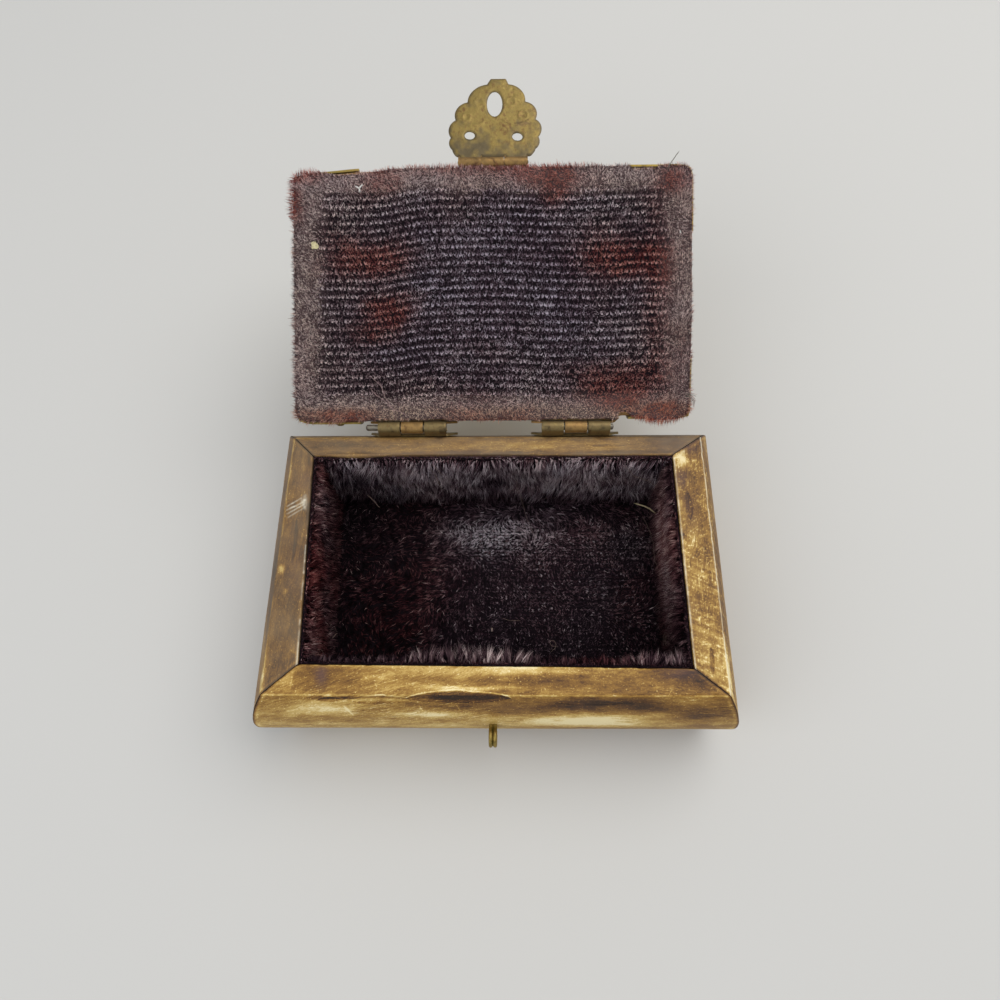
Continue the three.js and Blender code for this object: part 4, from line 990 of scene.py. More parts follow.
PROUD = [(-46, -21, 2.4, 3.6, 1.6), (-45, -27.5, 5, 3, 1.3), (-8, -28.4, 14, 2, 0.5), (38.5, 29, 6, 2.5, 1.3),
         (-42, 28.6, 8, 2, 0.8), (45, 24, 2, 5, 0.4), (16, -28.4, 9, 2, 0.4), (-45.8, 10, 1.5, 16, 0.3)]


def in_field(x, y, soft=1.3):
    wob = 2.6 * wander(x, y, 0.16, 0.16, 121)
    return box01(x + wob, *FIELD[:2], soft) * box01(y + wob, *FIELD[2:], soft)


def lid_red(x, y):
    wx, wy = (c + 2.5 * wander(x, y, 0.15, 0.15, seed) for c, seed in ((x, 131), (y, 132)))
    red = 0.12 + 0.3 * wander(x, y, 0.1, 0.12, 133)
    return np.clip(red + blobs(wx, wy, *RED_SPOTS) * (1 + wander(x, y, 0.5, 0.5, 134)), 0, 1)


def top_edge(x):
    """How far in from the lid's front edge the cloth was cut: it runs out of true on the left."""
    cut = np.interp(x, [-46, -44, -40, -37.8, -36, -33, -30, -22], [-0.1, -0.15, -0.2, 0.2, 0.9, 1.0, 0.95, 0.0])
    return cut + 0.85 * box01(x, 31.4, 37.4, 0.3) + 0.3 * box01(x, -8, 8, 0.5) + 0.25 * wander(x, 0.0, 0.4, 1, 143)


def bottom_edge(x):
    cut = 1.15 * box01(x, 28.5, 31.3, 0.12) - blobs(x, 0, (38.5, 0, 6, 1, 0.9))
    return cut + 0.3 * box01(np.abs(x), HINGE_X - 8, HINGE_X + 8, 0.5) + 0.3 * wander(x, 5.0, 0.4, 1, 144)


def cloth_outline(n):
    """Points round the cloth, evenly spaced, its corners a little rounded."""
    pts = []
    for sx, sy, start in ((1, 1, 0), (-1, 1, 90), (-1, -1, 180), (1, -1, 270)):
        hx = (CLOTH_RIGHT if sx > 0 else CLOTH_LEFT) - CLOTH_CORNER
        pts += arc((sx * hx, sy * (CLOTH_DEEP - CLOTH_CORNER)), CLOTH_CORNER, *np.radians([start, start + 90]), 12)
    p = np.array(pts + pts[:1])
    s = lengths(p)
    x, y = along_line(np.arange(n) * s[-1] / n, s, p).T
    high, low = ramp01(-y, LID_Y - 3, LID_Y - 1), ramp01(y, LID_Y - 3, LID_Y - 1)
    return x, y + high * top_edge(x) - low * bottom_edge(x)


def cloth_depth(x, y):
    """How far inside the cloth's outline a point lies, and the way out from there."""
    side = np.where(x < 0, CLOTH_LEFT, CLOTH_RIGHT) - np.abs(x)
    deep = CLOTH_DEEP - np.where(y < 0, top_edge(x), bottom_edge(x)) - np.abs(y)
    cx, cy = CLOTH_CORNER - side, CLOTH_CORNER - deep
    corner, away = (cx > 0) & (cy > 0), np.maximum(np.hypot(cx, cy), 1e-6)
    return (np.where(corner, CLOTH_CORNER - away, np.minimum(side, deep)),
            np.sign(x) * np.where(corner, cx / away, side < deep),
            np.sign(y) * np.where(corner, cy / away, side >= deep))


def lid_cloth():
    """The ground cloth, cut a little unevenly round its edge."""
    n, turns = 900, 16
    edge = np.stack(cloth_outline(n), 1)
    flat = np.concatenate([[[0, 0]], *(edge * share for share in np.linspace(0, 1, turns + 1)[1:])])
    x, y = flat.T
    v = np.concatenate([rows_of(x, y, CLOTH_TOP), rows_of(x, y, CLOTH_FACE + 0.16 * wander(x, y, 0.25, 0.25, 142))])
    return make("lid_lining_cloth", v, disc_faces(n, turns), CLOTH, "lid", ["lid_lining"], sharp=60,
                uv=both_faces(0.25 + x / 200, 0.5 + y / 62), nap=np.tile(1 - in_field(x, y), 2))


def row_path(x, y):
    """The weave's rows step sideways by about a row part of the way along, and wander."""
    lift = -1.8 * ramp01(x, -29, -13) + 0.5 * ramp01(x, 0, 14) - 0.4 * ramp01(x, 22, 34)
    return lift + 0.9 * wander(x, y, 0.035, 0.03, 154)


def field_cast(x, y):
    """The dye has kept more of its blue in the middle."""
    middle = 1 - np.clip(np.hypot(x / 44, y / 27), 0, 1) ** 2.5
    return 0.15 + middle + 1.2 * wander(x, y, 0.12, 0.14, 157)


def field_pile():
    """The worn middle: short fuzz between rows of small bright knots."""
    n = 38000
    x, y = RNG.uniform(FIELD[0] - 1, FIELD[1] + 1, n), RNG.uniform(FIELD[2] - 1, FIELD[3] + 1, n)
    keep = RNG.random(n) < in_field(x, y)
    x, y = x[keep], y[keep]
    n = len(x)
    row = (y - row_path(x, y) - FIELD[2]) / PITCH
    across, along = np.cos(TURN * (x / STEP - 0.5 * (np.floor(row + 0.5) % 2))), np.cos(TURN * row)
    # lighter under the knots and along their arms, darkest in the cells between two rows
    pattern = 0.5 + 0.3 * along + 0.2 * across - 0.12 * (1 - along) * (1 + across)
    way = [0.0, -0.25, -0.8] + jitter(n, 0.25)
    tint = 0.6 + 0.37 * pattern + 0.4 * clumps(x, y, 151, 0.12) + 0.7 * clumps(x, y, 152, 1.6)
    tint = tint + 0.06 * ramp01(x, -5, 10) * ramp01(y, -12, 4) + RNG.normal(0, 0.12, n)
    red = lid_red(x, y)
    long, width = RNG.uniform(0.45, 0.8, n), RNG.uniform(0.1, 0.17, n)
    pieces = strands("lid_field_fuzz", "lid", rows_of(x, y, ROOTS), way, np.tile([0.0, -0.1, 0.15], (n, 1)), long,
                     width, tint, red, field_cast(x, y) * (1 - red), parts=2)
    cols = np.arange(math.floor(FIELD[0] / STEP), math.ceil(FIELD[1] / STEP) + 1)
    rr, cc = np.meshgrid(np.arange(-2, 32), cols, indexing="ij")
    x0, y0 = (cc + 0.5 * (rr % 2)) * STEP, FIELD[2] + rr * PITCH
    y0 = y0 + row_path(x0, y0)
    x0 = x0 + RNG.normal(0, 0.06, x0.shape) + 0.3 * wander(x0, y0, 0.1, 0.3, 153)
    y0 = y0 + RNG.normal(0, 0.06, x0.shape) + 0.2 * (noise(x0 * 0.8, y0 * 0.8, seed=155) - 0.5)
    x0, y0 = x0.ravel(), y0.ravel()
    keep = (in_field(x0, y0, 0.6) > 0.35) & (RNG.random(len(x0)) < 0.97)
    x0, y0, each = x0[keep], y0[keep], 9
    which, m = np.tile(np.arange(each), len(x0)), each * len(x0)
    sign, knot = np.where(which % 2 == 0, -1.0, 1.0), which < 5
    x = np.repeat(x0, each) + sign * 0.05 + RNG.normal(0, 0.05, m)
    y = np.repeat(y0, each) + RNG.normal(0, 0.07, m)
    # a bright knot of short ends, from which two arms lie back over the cloth
    way = rows_of(sign * np.where(knot, 0.2, 0.6), np.where(knot, -0.15, -0.9), np.where(knot, -0.9, -0.35))
    way = way + jitter(m, 0.2)
    shine = 0.92 + 0.5 * wander(x, y, 0.16, 0.2, 156) + RNG.normal(0, 0.1, m)
    red = lid_red(x, y) * 0.8
    shine = shine + np.repeat(RNG.normal(0, 0.2, len(x0)), each) - 0.1 * red - 0.06 * ramp01(y, 8, 20)
    return pieces + strands("lid_field_tufts", "lid", rows_of(x, y, ROOTS), way, rows_of(-0.2 * sign, 0.0, 0.2),
                            np.where(knot, 0.66, 1.0) * RNG.uniform(0.8, 1.1, m), np.where(knot, 0.22, 0.15),
                            np.where(knot, shine, shine * 0.78), red, field_cast(x, y) * (1 - red))


def border_pile():
    """Thicker pile left round the border, frayed at the cut edge."""
    n = 118000
    x, y = RNG.uniform(-CLOTH_LEFT, CLOTH_RIGHT, n), RNG.uniform(-LID_Y - 1.0, LID_Y + 1.2, n)
    keep = (RNG.random(n) < 1 - in_field(x, y)) & (cloth_depth(x, y)[0] > 0.05)
    ex, ey = cloth_outline(4200)
    _, out_x, out_y = cloth_depth(ex, ey)
    m = len(ex)
    shrink = RNG.uniform(0.05, 0.4, m)
    x = np.concatenate([x[keep], ex - out_x * shrink + RNG.normal(0, 0.05, m)])
    y = np.concatenate([y[keep], ey - out_y * shrink + RNG.normal(0, 0.05, m)])
    n = len(x)
    inner, out_x, out_y = cloth_depth(x, y)
    edge = 1 - ramp01(inner, 0.0, 1.0)
    swirl = fbm(x * 0.2, y * 0.2, seed=161, octaves=3) * 8
    dx, dy, tone = lock(x, y, 0.5, 160)
    own = lattice(*np.floor(np.stack([x, y]) / 0.42).astype(np.int64), 0, 166)
    bare, proud = blobs(x, y, *BARE), blobs(x, y, *PROUD)
    lean = edge * (0.05 + 0.75 * own**2 + 0.8 * proud) * (1 - 0.9 * bare)
    way = rows_of(np.cos(swirl) * 0.35 + 0.5 * dx + out_x * lean, np.sin(swirl) * 0.35 + 0.5 * dy + out_y * lean, -0.8)
    way = way + jitter(n, 0.22)
    way[:, 2] = -np.abs(way[:, 2]) * (1 - 0.3 * np.clip(proud, 0, 1))
    bend = rows_of(out_x * 0.15 * edge, out_y * 0.15 * edge, 0.25) + jitter(n, 0.1)
    long = RNG.uniform(0.65, 1.15, n) * (1 + (0.2 * own + 0.55 * proud) * edge) * (1 - 0.3 * bare)
    # shorter where the hinges' leaves press on it
    long = long * (1 - 0.36 * np.clip(blobs(np.abs(x), y, (HINGE_X, 28.6, 9.5, 5.0, 1.6)), 0, 1))
    tint = 0.86 + 0.16 * clumps(x, y, 162, 0.5) + 0.34 * tone + 0.3 * clumps(x, y, 164, 2.0) + RNG.normal(0, 0.17, n)
    red = np.clip(lid_red(x, y) + edge * 0.5 * (own - 0.5), 0, 1)
    tint = tint + blobs(x, y, *LIGHT_SPOTS) - 0.08 * red - edge * (0.22 - 0.3 * (own - 0.5))
    cast = -0.25 - 0.35 * edge * own - 0.75 * ramp01(y, 24.5, 27) + 0.2 * ramp01(-y, 22, 27)
    cast = cast + 0.6 * wander(x, y, 0.2, 0.2, 167)
    width = RNG.uniform(0.07, 0.13, n)
    return strands("lid_border_pile", "lid", rows_of(x, y, ROOTS), way, bend, long, width, tint, red, cast, parts=3,
                   order=RNG.permutation(n))


lid_ground = lid_cloth()
field_pile() + border_pile()


# Lint and loose ends that lie in the box and on the open lid

def fibre(name, body, material, radius, seed, frizz, points):
    """A thin loose fibre through a few points."""
    p = np.asarray(points, float)
    s = lengths(p)
    t = np.linspace(0, s[-1], max(16, int(s[-1] / 0.35)))
    path = along_line(t, s, p)
    for _ in range(3):
        path[1:-1] = 0.5 * path[1:-1] + 0.25 * (path[2:] + path[:-2])
    path += frizz * np.stack([fbm(t * 0.9 + 7 * k, seed * 3.1, seed=seed + k) - 0.5 for k in range(3)], 1)
    way = unit(np.gradient(path, axis=0))
    a = unit(np.cross(way, [0.13, 0.31, 0.94]))
    k = (np.arange(6) * TURN / 6)[:, None]
    thin = radius * (0.35 + 0.65 * np.clip(np.minimum(t, s[-1] - t) / (0.12 * s[-1]), 0, 1))
    rings = path[:, None] + thin[:, None, None] * (a[:, None] * np.cos(k) + np.cross(way, a)[:, None] * np.sin(k))
    tube(name, rings, material, body)


def speck(name, body, material, at, size, seed):
    """A small flat flake with a ragged outline, a little curled."""
    cols, turns = 14, 4
    b = np.arange(cols) * TURN / cols
    out = np.random.default_rng(seed).uniform(0.6, 1.25, cols)
    out = 0.7 * out + 0.15 * (np.roll(out, 1) + np.roll(out, -1))
    edge = np.column_stack([np.cos(b), np.sin(b)]) * out[:, None]
    flat = np.concatenate([np.zeros((1, 2)), *(edge * k / turns for k in range(1, turns + 1))])
    x, y = flat.T
    curl = 0.6 * x**2 - 0.35 * y**2 + 0.5 * wander(x, y, 2, 2, seed)
    thick = 0.5 * (1.05 - np.hypot(x, y) * 0.6)
    v = np.concatenate([rows_of(x, y, curl + thick), rows_of(x, y, curl - thick)]) * size + at
    make(name, v, disc_faces(cols, turns), material, body, sharp=50, uv=both_faces(0.25 + x * 0.18, 0.5 + y * 0.35))


def lint():
    low = FLOOR_TOP + 2.0
    curl = [(13.0 + 1.5 * math.cos(a) + a * 0.45, -14.5 + 1.2 * math.sin(a) + a * 0.2, low + 0.6 + 0.1 * a)
            for a in np.linspace(-1.2, 4.6, 12)]
    for row in (
        ("straw", STRAW, 0.17, 1, 0.15, [(34.6, 20.8, 9.4), (37.2, 19.6, 10.2), (38.6, 18.2, 11.2),
                                         (39.8, 16.4, 12.6)]),
        ("hair_6", HAIR, 0.04, 17, 0.5, [(36.6, 17.9, 8.4), (37.9, 14.2, 8.6), (38.6, 10.4, 9.6), (38.5, 5.6, 11.0),
                                         (39.2, -0.1, 13.2), (39.6, -4.1, 15.2)]),
        ("hair_7", HAIR, 0.05, 18, 0.2, [(40.0, -1.2, 13.6), (41.0, -1.8, 15.0), (41.3, -2.6, 16.6)]),
        ("hair_1", HAIR, 0.035, 2, 0.5, [(4.5, 23.4, 22.0), (6.2, 20.4, 14.0), (8.2, 16.5, low + 1),
                                         (10.0, 13.0, low + 0.5)]),
        ("hair_2", HAIR, 0.035, 3, 0.4, [(-15.5, 23.2, 27.5), (-13.8, 21.8, 25.5), (-12.9, 20.2, 23.0),
                                         (-12.6, 19.6, 20.0)]),
        ("hair_3", HAIR, 0.03, 4, 0.4, [(-14.6, 23.4, 28.4), (-12.4, 21.6, 27.0), (-10.4, 20.8, 24.0)]),
        ("hair_4", HAIR, 0.03, 5, 0.8, [(30.0, 23.0, 27.5), (32.5, 20.8, 26.5), (36.0, 20.0, 25.0),
                                        (38.5, 19.0, 24.0)]),
        ("curl", HAIR, 0.04, 6, 0.2, curl),
        ("hair_5", HAIR, 0.04, 7, 0.2, [(1.5, -7.6, low + 0.5), (3.6, -8.4, low + 0.7), (6.0, -8.2, low + 0.5)]),
        ("fleck_2", HAIR, 0.07, 9, 0.1, [(-16.2, 4.2, low + 0.3), (-15.4, 4.9, low + 0.5), (-14.6, 5.1, low + 0.3)]),
        ("fleck_3", HAIR, 0.05, 10, 0.2, [(-30.5, 18.6, 21.0), (-29.2, 17.8, 19.8), (-27.6, 16.2, 18.4)]),
        ("fleck_4", HAIR, 0.06, 11, 0.1, [(-37.4, -14.5, 14.6), (-36.8, -13.7, 14.4), (-36.5, -13.1, 14.0)]),
    ):
        fibre("lint_" + row[0], "base", *row[1:])
    for k, (reach, lift) in enumerate(((1.5, 0.0), (1.1, 0.5), (0.8, 1.0))):
        loop = [(39.3 + 0.2 * k + 0.4 * math.cos(a), -14.6 + 1.3 * reach * math.sin(a),
                 13.2 + lift + reach * math.cos(a)) for a in np.linspace(-1.0 + k, 3.6 + k, 10)]
        fibre(f"lint_loop_{k + 1}", "base", HAIR, 0.05, 27 + k, 0.4, loop)
    speck("lint_fleck_1", "base", HAIR, (-0.9, -10.5, low + 0.3), (0.2, 0.55, 0.08), 8)
    speck("lid_fleck_small", "lid", CHIP_WHITE, (42.6, -13.4, -1.95), (0.16, 0.4, 0.1), 19)
    speck("lid_fleck_cream", "lid", CHIP_CREAM, (-40.8, -11.2, -2.0), (0.85, 0.95, 0.16), 13)
    fx, fy = -30.4, -23.95
    for k, (x, y) in enumerate(((-31.36, -24.63), (-29.69, -24.9), (-30.3, -23.15))):
        fibre(f"lid_fleck_white_{k + 1}", "lid", CHIP_WHITE, 0.19, 12 + k, 0.1,
              [(fx, fy, -2.15), ((x + fx) / 2, (y + fy) / 2, -2.2), (x, y, -1.95)])
    fibre("lid_thread_1", "lid", THREAD, 0.06, 14, 0.3,
          [(-28.4, 18.4, -1.7), (-26.5, 20.1, -2.0), (-25.5, 21.3, -2.1), (-24.9, 23.4, -2.2), (-23.8, 25.0, -2.2),
           (-22.7, 26.8, -2.1), (-22.5, 28.0, -1.8)])
    fibre("lid_thread_2", "lid", THREAD, 0.06, 21, 0.3,
          [(-28.4, 21.2, -1.7), (-26.7, 23.1, -2.0), (-25.4, 23.9, -2.2), (-23.6, 25.8, -2.1), (-20.5, 27.2, -2.1),
           (-19.7, 28.1, -1.8)])
    fibre("lid_end_dark", "lid", DARK_FIBRE, 0.1, 15, 0.3,
          [(39.5, -27.6, -1.4), (40.2, -28.9, -1.8), (41.3, -30.2, -2.2), (42.2, -31.4, -2.4)])
    # a tuft that has come loose on the right
    for k in range(7):
        y, far = 23.2 + 0.22 * k, 2.4 - 0.22 * (k % 3)
        fibre(f"lid_end_right_{k + 1}", "lid", DARK_FIBRE if k % 3 else THREAD, 0.055, 30 + k, 0.25,
              [(44.4, y, -1.4), (45.3, y + 0.1, -1.7), (45.0 + 0.6 * far, y + 0.5 + 0.12 * k, -1.9),
               (44.9 + far * (0.9 - 0.05 * k), y + 0.6 + 0.4 * k, -2.0)])


lint()


# Lid: bone rails and top panel

def lid_ends(front_back, left_right):
    """Corner lines of a lid rail, mitred, from its outer edge inwards."""
    def ends(o):
        x, y = LID_X + o, LID_Y + o
        if front_back:
            a, b = np.concatenate([-x, front_back * y], 1), np.concatenate([x, front_back * y], 1)
        else:
            a, b = np.concatenate([left_right * x, -y], 1), np.concatenate([left_right * x, y], 1)
        return a + unit(b - a) * 0.06, b - unit(b - a) * 0.06
    return ends


LID_SECTION = smooth_loop(
    [(-8.0, 0.0), (0.0, 0.0), *arc((-LID_R, 0.0), LID_R, 0, math.asin(LID_H / LID_R), 14)[1:-1],
     (-LID_FALL, LID_H), (-5.5, LID_H), (-5.5, 4.5), (-8.0, 4.5)],
    0.04, 0.1, lambda a, b: 0.35 if a > -5.6 and b > 0.3 else 0.8)


def lid_shape(seed):
    def shape(u, w, out, up):
        rough = 0.12 * wander(u, w, 0.25, 1.0, seed) + 0.05 * wander(u, w, 1.3, 5, seed + 3, 3)
        return rough - 0.05 * ramp01(up, 5.0, 7.0) * ramp01(out, -5.4, -5.0)
    return shape


def lid_paint(seed):
    def paint(u, w, out, up):
        tone = 0.62 + 0.3 * wander(u, w, 0.06, 0.2, seed + 5) - 0.2 * (1 - ramp01(up, 0.2, 1.6)) * (out > -7)
        tone = tone + blobs(up, 0, (6.8, 0, 0.5, 1, 0.14))
        return dict(tone=tone, stain=0.35 * np.clip(wander(u, w, 0.08, 0.25, seed + 7) - 0.05, 0, 1), dust=0.12,
                    fibre=0.4, grain=rows_of(u, w, seed * 3.7))
    return paint


for k, (name, fb, lr) in enumerate([("front", -1, 0), ("right", 0, 1), ("back", 1, 0), ("left", 0, -1)]):
    bone_bar(f"lid_{name}_bone", LID_SECTION, lengths(LID_SECTION), lid_ends(fb, lr), 200 if fb else 130,
             lid_shape(200 + k * 20), lid_paint(210 + k * 20), "lid", f"lid_{name}_rail")


def top_panel():
    """The pale slab let into the lid, its edges worn."""
    cells, half, mid, hz, round_by, seed = (180, 110), (LID_X - 5.8, LID_Y - 5.8), 5.9, 1.1, 0.35, 301
    s, t = np.meshgrid(*(np.linspace(-1, 1, n) for n in cells), indexing="ij")
    x, y = half[0] * s, half[1] * t
    drop = np.exp((np.abs(x) - half[0]) / round_by) + np.exp((np.abs(y) - half[1]) / round_by)
    edge = hz - 0.8 * round_by * drop
    top = mid + edge + 0.12 * wander(x, y, 0.15, 0.15, seed) + 0.03 * wander(x, y, 1.1, 3, seed + 2)
    v = np.concatenate([rows_of(x, y, top).reshape(-1, 3), rows_of(x, y, mid - edge).reshape(-1, 3)])
    x, y, _ = v.T
    tone = 0.78 + 0.24 * wander(x, y, 0.05, 0.1, seed + 4)
    tone = tone - 0.22 * ramp01(np.maximum(np.abs(x) / half[0], np.abs(y) / half[1]), 0.93, 1.0)
    make("lid_top_bone", v, shell_faces(*cells), PALE, "lid", ["lid_top_panel"], sharp=50,
         uv=both_faces(0.25 + 0.24 * s, 0.5 + 0.49 * t), tone=tone, dust=0.1, fibre=0.3, grain=rows_of(x, y, 40.0),
         stain=0.3 * np.clip(wander(x, y, 0.09, 0.09, seed + 6) - 0.1, 0, 1))


top_panel()


# Small fittings: each takes its shape or its place from its solid

def mesh_points(me):
    co = np.zeros(len(me.vertices) * 3, np.float32)
    me.vertices.foreach_get("co", co)
    return co.reshape(-1, 3) / MM


def points_of(node):
    return placed(mesh_points(NODES[node].data), NODES[node].matrix_world)


def from_solid(name, source, material, body, width, cuts, wobble, seed, grime=None):
    """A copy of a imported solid, bevelled, finely divided and slightly uneven."""
    bm = bmesh.new()
    bm.from_mesh(NODES[source].data)
    bm.transform(NODES[source].matrix_world)
    bmesh.ops.remove_doubles(bm, verts=bm.verts, dist=1e-6)
    bmesh.ops.dissolve_limit(bm, angle_limit=math.radians(1.0), verts=bm.verts, edges=bm.edges)
    sharp = [e for e in bm.edges if len(e.link_faces) == 2 and e.calc_face_angle(0) > math.radians(35)]
    bmesh.ops.bevel(bm, geom=sharp, offset=width * MM, segments=2, profile=0.5, affect="EDGES", clamp_overlap=True)
    for cut in range(cuts + 1):
        if cut:
            long = [e for e in bm.edges if e.calc_length() > 0.7 * MM]
            bmesh.ops.subdivide_edges(bm, edges=long, cuts=1)
        bmesh.ops.triangulate(bm, faces=[f for f in bm.faces if len(f.verts) > 4])
    bm.normal_update()
    me = bpy.data.meshes.new(name)
    bm.to_mesh(me)
    bm.free()
    co = mesh_points(me)
    co = bend_world(co) if body == "lid" else co
    me.vertices.foreach_set("co", (shaken(co, wobble, 0.8, 9, seed) * MM).astype(np.float32).ravel())
    dirt = grime_on(co, 1.1, seed + 9, 1.6, 0.75)
    if grime is not None:
        dirt = np.clip(dirt + grime(co), 0, 1)
    me.attributes.new("grime", "FLOAT", "POINT").data.foreach_set("value", dirt.astype(np.float32))
    show(name, me, material, body, [source], Matrix(), 40)


def lathe_along(name, origin, axis, profile, material, body, node, wobble, seed):
    """A turned piece along an axis: profile is (along, radius) from end to end."""
    z = Vector(axis).normalized()
    x = z.orthogonal().normalized()
    matrix = Matrix.Translation(Vector(origin * MM)) @ Matrix((x, z.cross(x), z)).transposed().to_4x4()
    turns = 28
    k = np.arange(turns) * TURN / turns
    z, r = np.array(profile, float).T[:, :, None]
    v = shaken(rows_of(r * np.cos(k), r * np.sin(k), z).reshape(-1, 3), wobble, (3, 3, 1), 7, seed)
    tube(name, v.reshape(-1, turns, 3), material, body, [node], matrix, sharp=45,
         grime=grime_on(v, 2, seed + 5, 1.6, 0.7))


def axis_of(node):
    """The middle, the long axis and the points of a solid, as places along the axis and away from it."""
    co = points_of(node)
    start = co.mean(0)
    axis = np.linalg.svd(co - start, full_matrices=False)[2][0]
    t = (co - start) @ axis
    return start, axis, t, np.linalg.norm(co - start - t[:, None] * axis, axis=1)


def brass_nail(node, body, seed):
    """A domed nail, hammered a little off round, where its solid is."""
    start, axis, t, r = axis_of(node)
    head = r > 0.6
    if t[head].mean() < 0:
        axis, t = -axis, -t
    seat = start + axis * t[head].min()
    if body == "lid":
        seat = bend_world(seat[None])[0]
    flat = np.random.default_rng(seed).uniform(0.8, 1.05)
    profile = [(-3.3, 0.04), (-3.0, 0.24), (-2.4, 0.38), (-0.01, 0.4), (0.0, 0.8), (0.05, 0.86), (0.14, 0.85),
               (0.24, 0.76), (0.33 * flat, 0.6), (0.41 * flat, 0.36), (0.45 * flat, 0.12)]
    lathe_along(f"{node}_brass", seat, axis, profile, BRASS, body, node, 0.07, seed)


def steel_pin(node, body, radius, material=STEEL):
    """A pin along its solid, its ends cut a little rough. The corner pins follow the walls as made here."""
    start, axis, t, _ = axis_of(node)
    if material is DARK_STEEL:
        if axis[0] * start[0] < 0:
            axis, t = -axis, -t
        start = start + [side_shift(start), 0, 0]
    low, high, c = t.min(), t.max(), 0.36 * radius
    profile = [(low, radius * 0.5), (low + c * 0.3, radius - c), (low + c, radius)]
    profile += [(x, radius) for x in np.linspace(low + c, high - c, 24)[1:-1]]
    profile += [(high - c, radius), (high - c * 0.3, radius - c), (high, radius * 0.4)]
    lathe_along(f"{node}_steel", start, axis, profile, material, body, node, 0.05, int(abs(start[0]) * 7))


def nodes_with(word):
    return sorted(name for name in NODES if word in name)


for first, body, nodes in ((400, "lid", nodes_with("corner_nail")),
                           (430, "lid", nodes_with("hinge_lid_nail") + nodes_with("hasp_nail")),
                           (450, "base", nodes_with("hinge_base_nail"))):
    for k, node in enumerate(nodes):
        brass_nail(node, body, first + k)
for node in nodes_with("corner_pin"):
    steel_pin(node, "base", CORNER_PIN, DARK_STEEL)
for node in nodes_with("hinge_pin"):
    steel_pin(node, "base", PIN)
steel_pin("hasp_pin", "lid", HASP_PIN)


def barrel_grime(co):
    return 0.35 * (np.hypot(co[:, 1] - HINGE_Y, co[:, 2] - HINGE_Z) < 0.9)


for side in ("left", "right"):
    for part, material in (("base", BRASS_DULL), ("lid", BRASS_RED)):
        from_solid(f"{side}_{part}_leaf_brass", f"{side}_hinge_{part}_leaf", material, part, 0.09, 3, 0.09,
                   500 + len(side) + len(part), barrel_grime)
for k, node in enumerate(nodes_with("lid_corner")):
    from_solid(f"{node}_brass", node, BRASS, "lid", 0.1, 3, 0.12, 520 + k)
from_solid("hasp_leaf_brass", "hasp_fixed_leaf", BRASS_RED, "lid", 0.09, 3, 0.09, 540)
from_solid("lid_board_wood", "lid_board", WOOD, "lid", 0.2, 2, 0.05, 545)
from_solid("bottom_panel_wood", "bottom_panel", WOOD, "base", 0.2, 2, 0.05, 547)


# The hasp plate: thin stamped brass with a worn pattern, in its own frame

PLATE_FACE, PLATE_BACK = 0.7, 1.14
SLOT_X = 14.4


def plate_loops():
    """Outlines of the plate's face, from its solid: the outer one first."""
    co = placed(points_of("hasp_plate"), HASP.inverted())
    key = {}
    index = [key.setdefault(tuple(np.round(c, 2)), len(key)) for c in co]
    place = {i: co[v] for v, i in enumerate(index)}
    edges, after, loops = {}, {}, []
    for p in NODES["hasp_plate"].data.polygons:
        ids = [index[v] for v in p.vertices]
        if all(abs(place[i][2] - PLATE_FACE) < 0.02 for i in ids):
            edges.update(dict.fromkeys(zip(ids, ids[1:] + ids[:1])))
    for a, b in edges:
        if (b, a) not in edges and a != b:
            after.setdefault(a, b)
    while after:
        loop = [next(iter(after))]
        while loop[-1] in after:
            loop.append(after.pop(loop[-1]))
        loops.append(np.array([place[i][:2] for i in loop[:-1]]))
    return sorted(loops, key=lambda c: -np.ptp(c[:, 0]) * np.ptp(c[:, 1]))


def out_of_true(loop, hole):
    """The real plate sits a little askew: its outline leans to one side, its holes less so."""
    x, y = loop.T
    if hole and np.ptp(x) > 4:
        return np.column_stack([SLOT_X + 0.4 + (x - SLOT_X) * 0.94, y + 0.33])
    if hole:
        return np.column_stack([x + 0.9 - 0.04 * y, y + 0.08])
    at = [0.9, 2, 6, 10, 14, 18, 20.8]
    return np.column_stack([x + np.interp(x, at, [0.0, 0.8, 1.05, 1.05, 0.75, 0.4, 0.3]),
                            y + np.interp(x, at, [0.0, 0.1, 0.35, 0.55, 0.7, 0.9, 1.17])])


def inside_loop(p, loop):
    x, y = p.T[:, :, None]
    (ax, ay), (bx, by) = loop.T, np.roll(loop, -1, 0).T
    return (((ay > y) != (by > y)) & (x < (bx - ax) * (y - ay) / (by - ay + 1e-12) + ax)).sum(1) % 2 == 1


def distance_to(p, loop):
    a, d = loop, np.roll(loop, -1, 0) - loop
    t = ((p[:, None] - a) * d).sum(-1) / np.maximum((d * d).sum(-1), 1e-9)
    return np.linalg.norm(p[:, None] - a - np.clip(t, 0, 1)[..., None] * d, axis=-1).min(1)


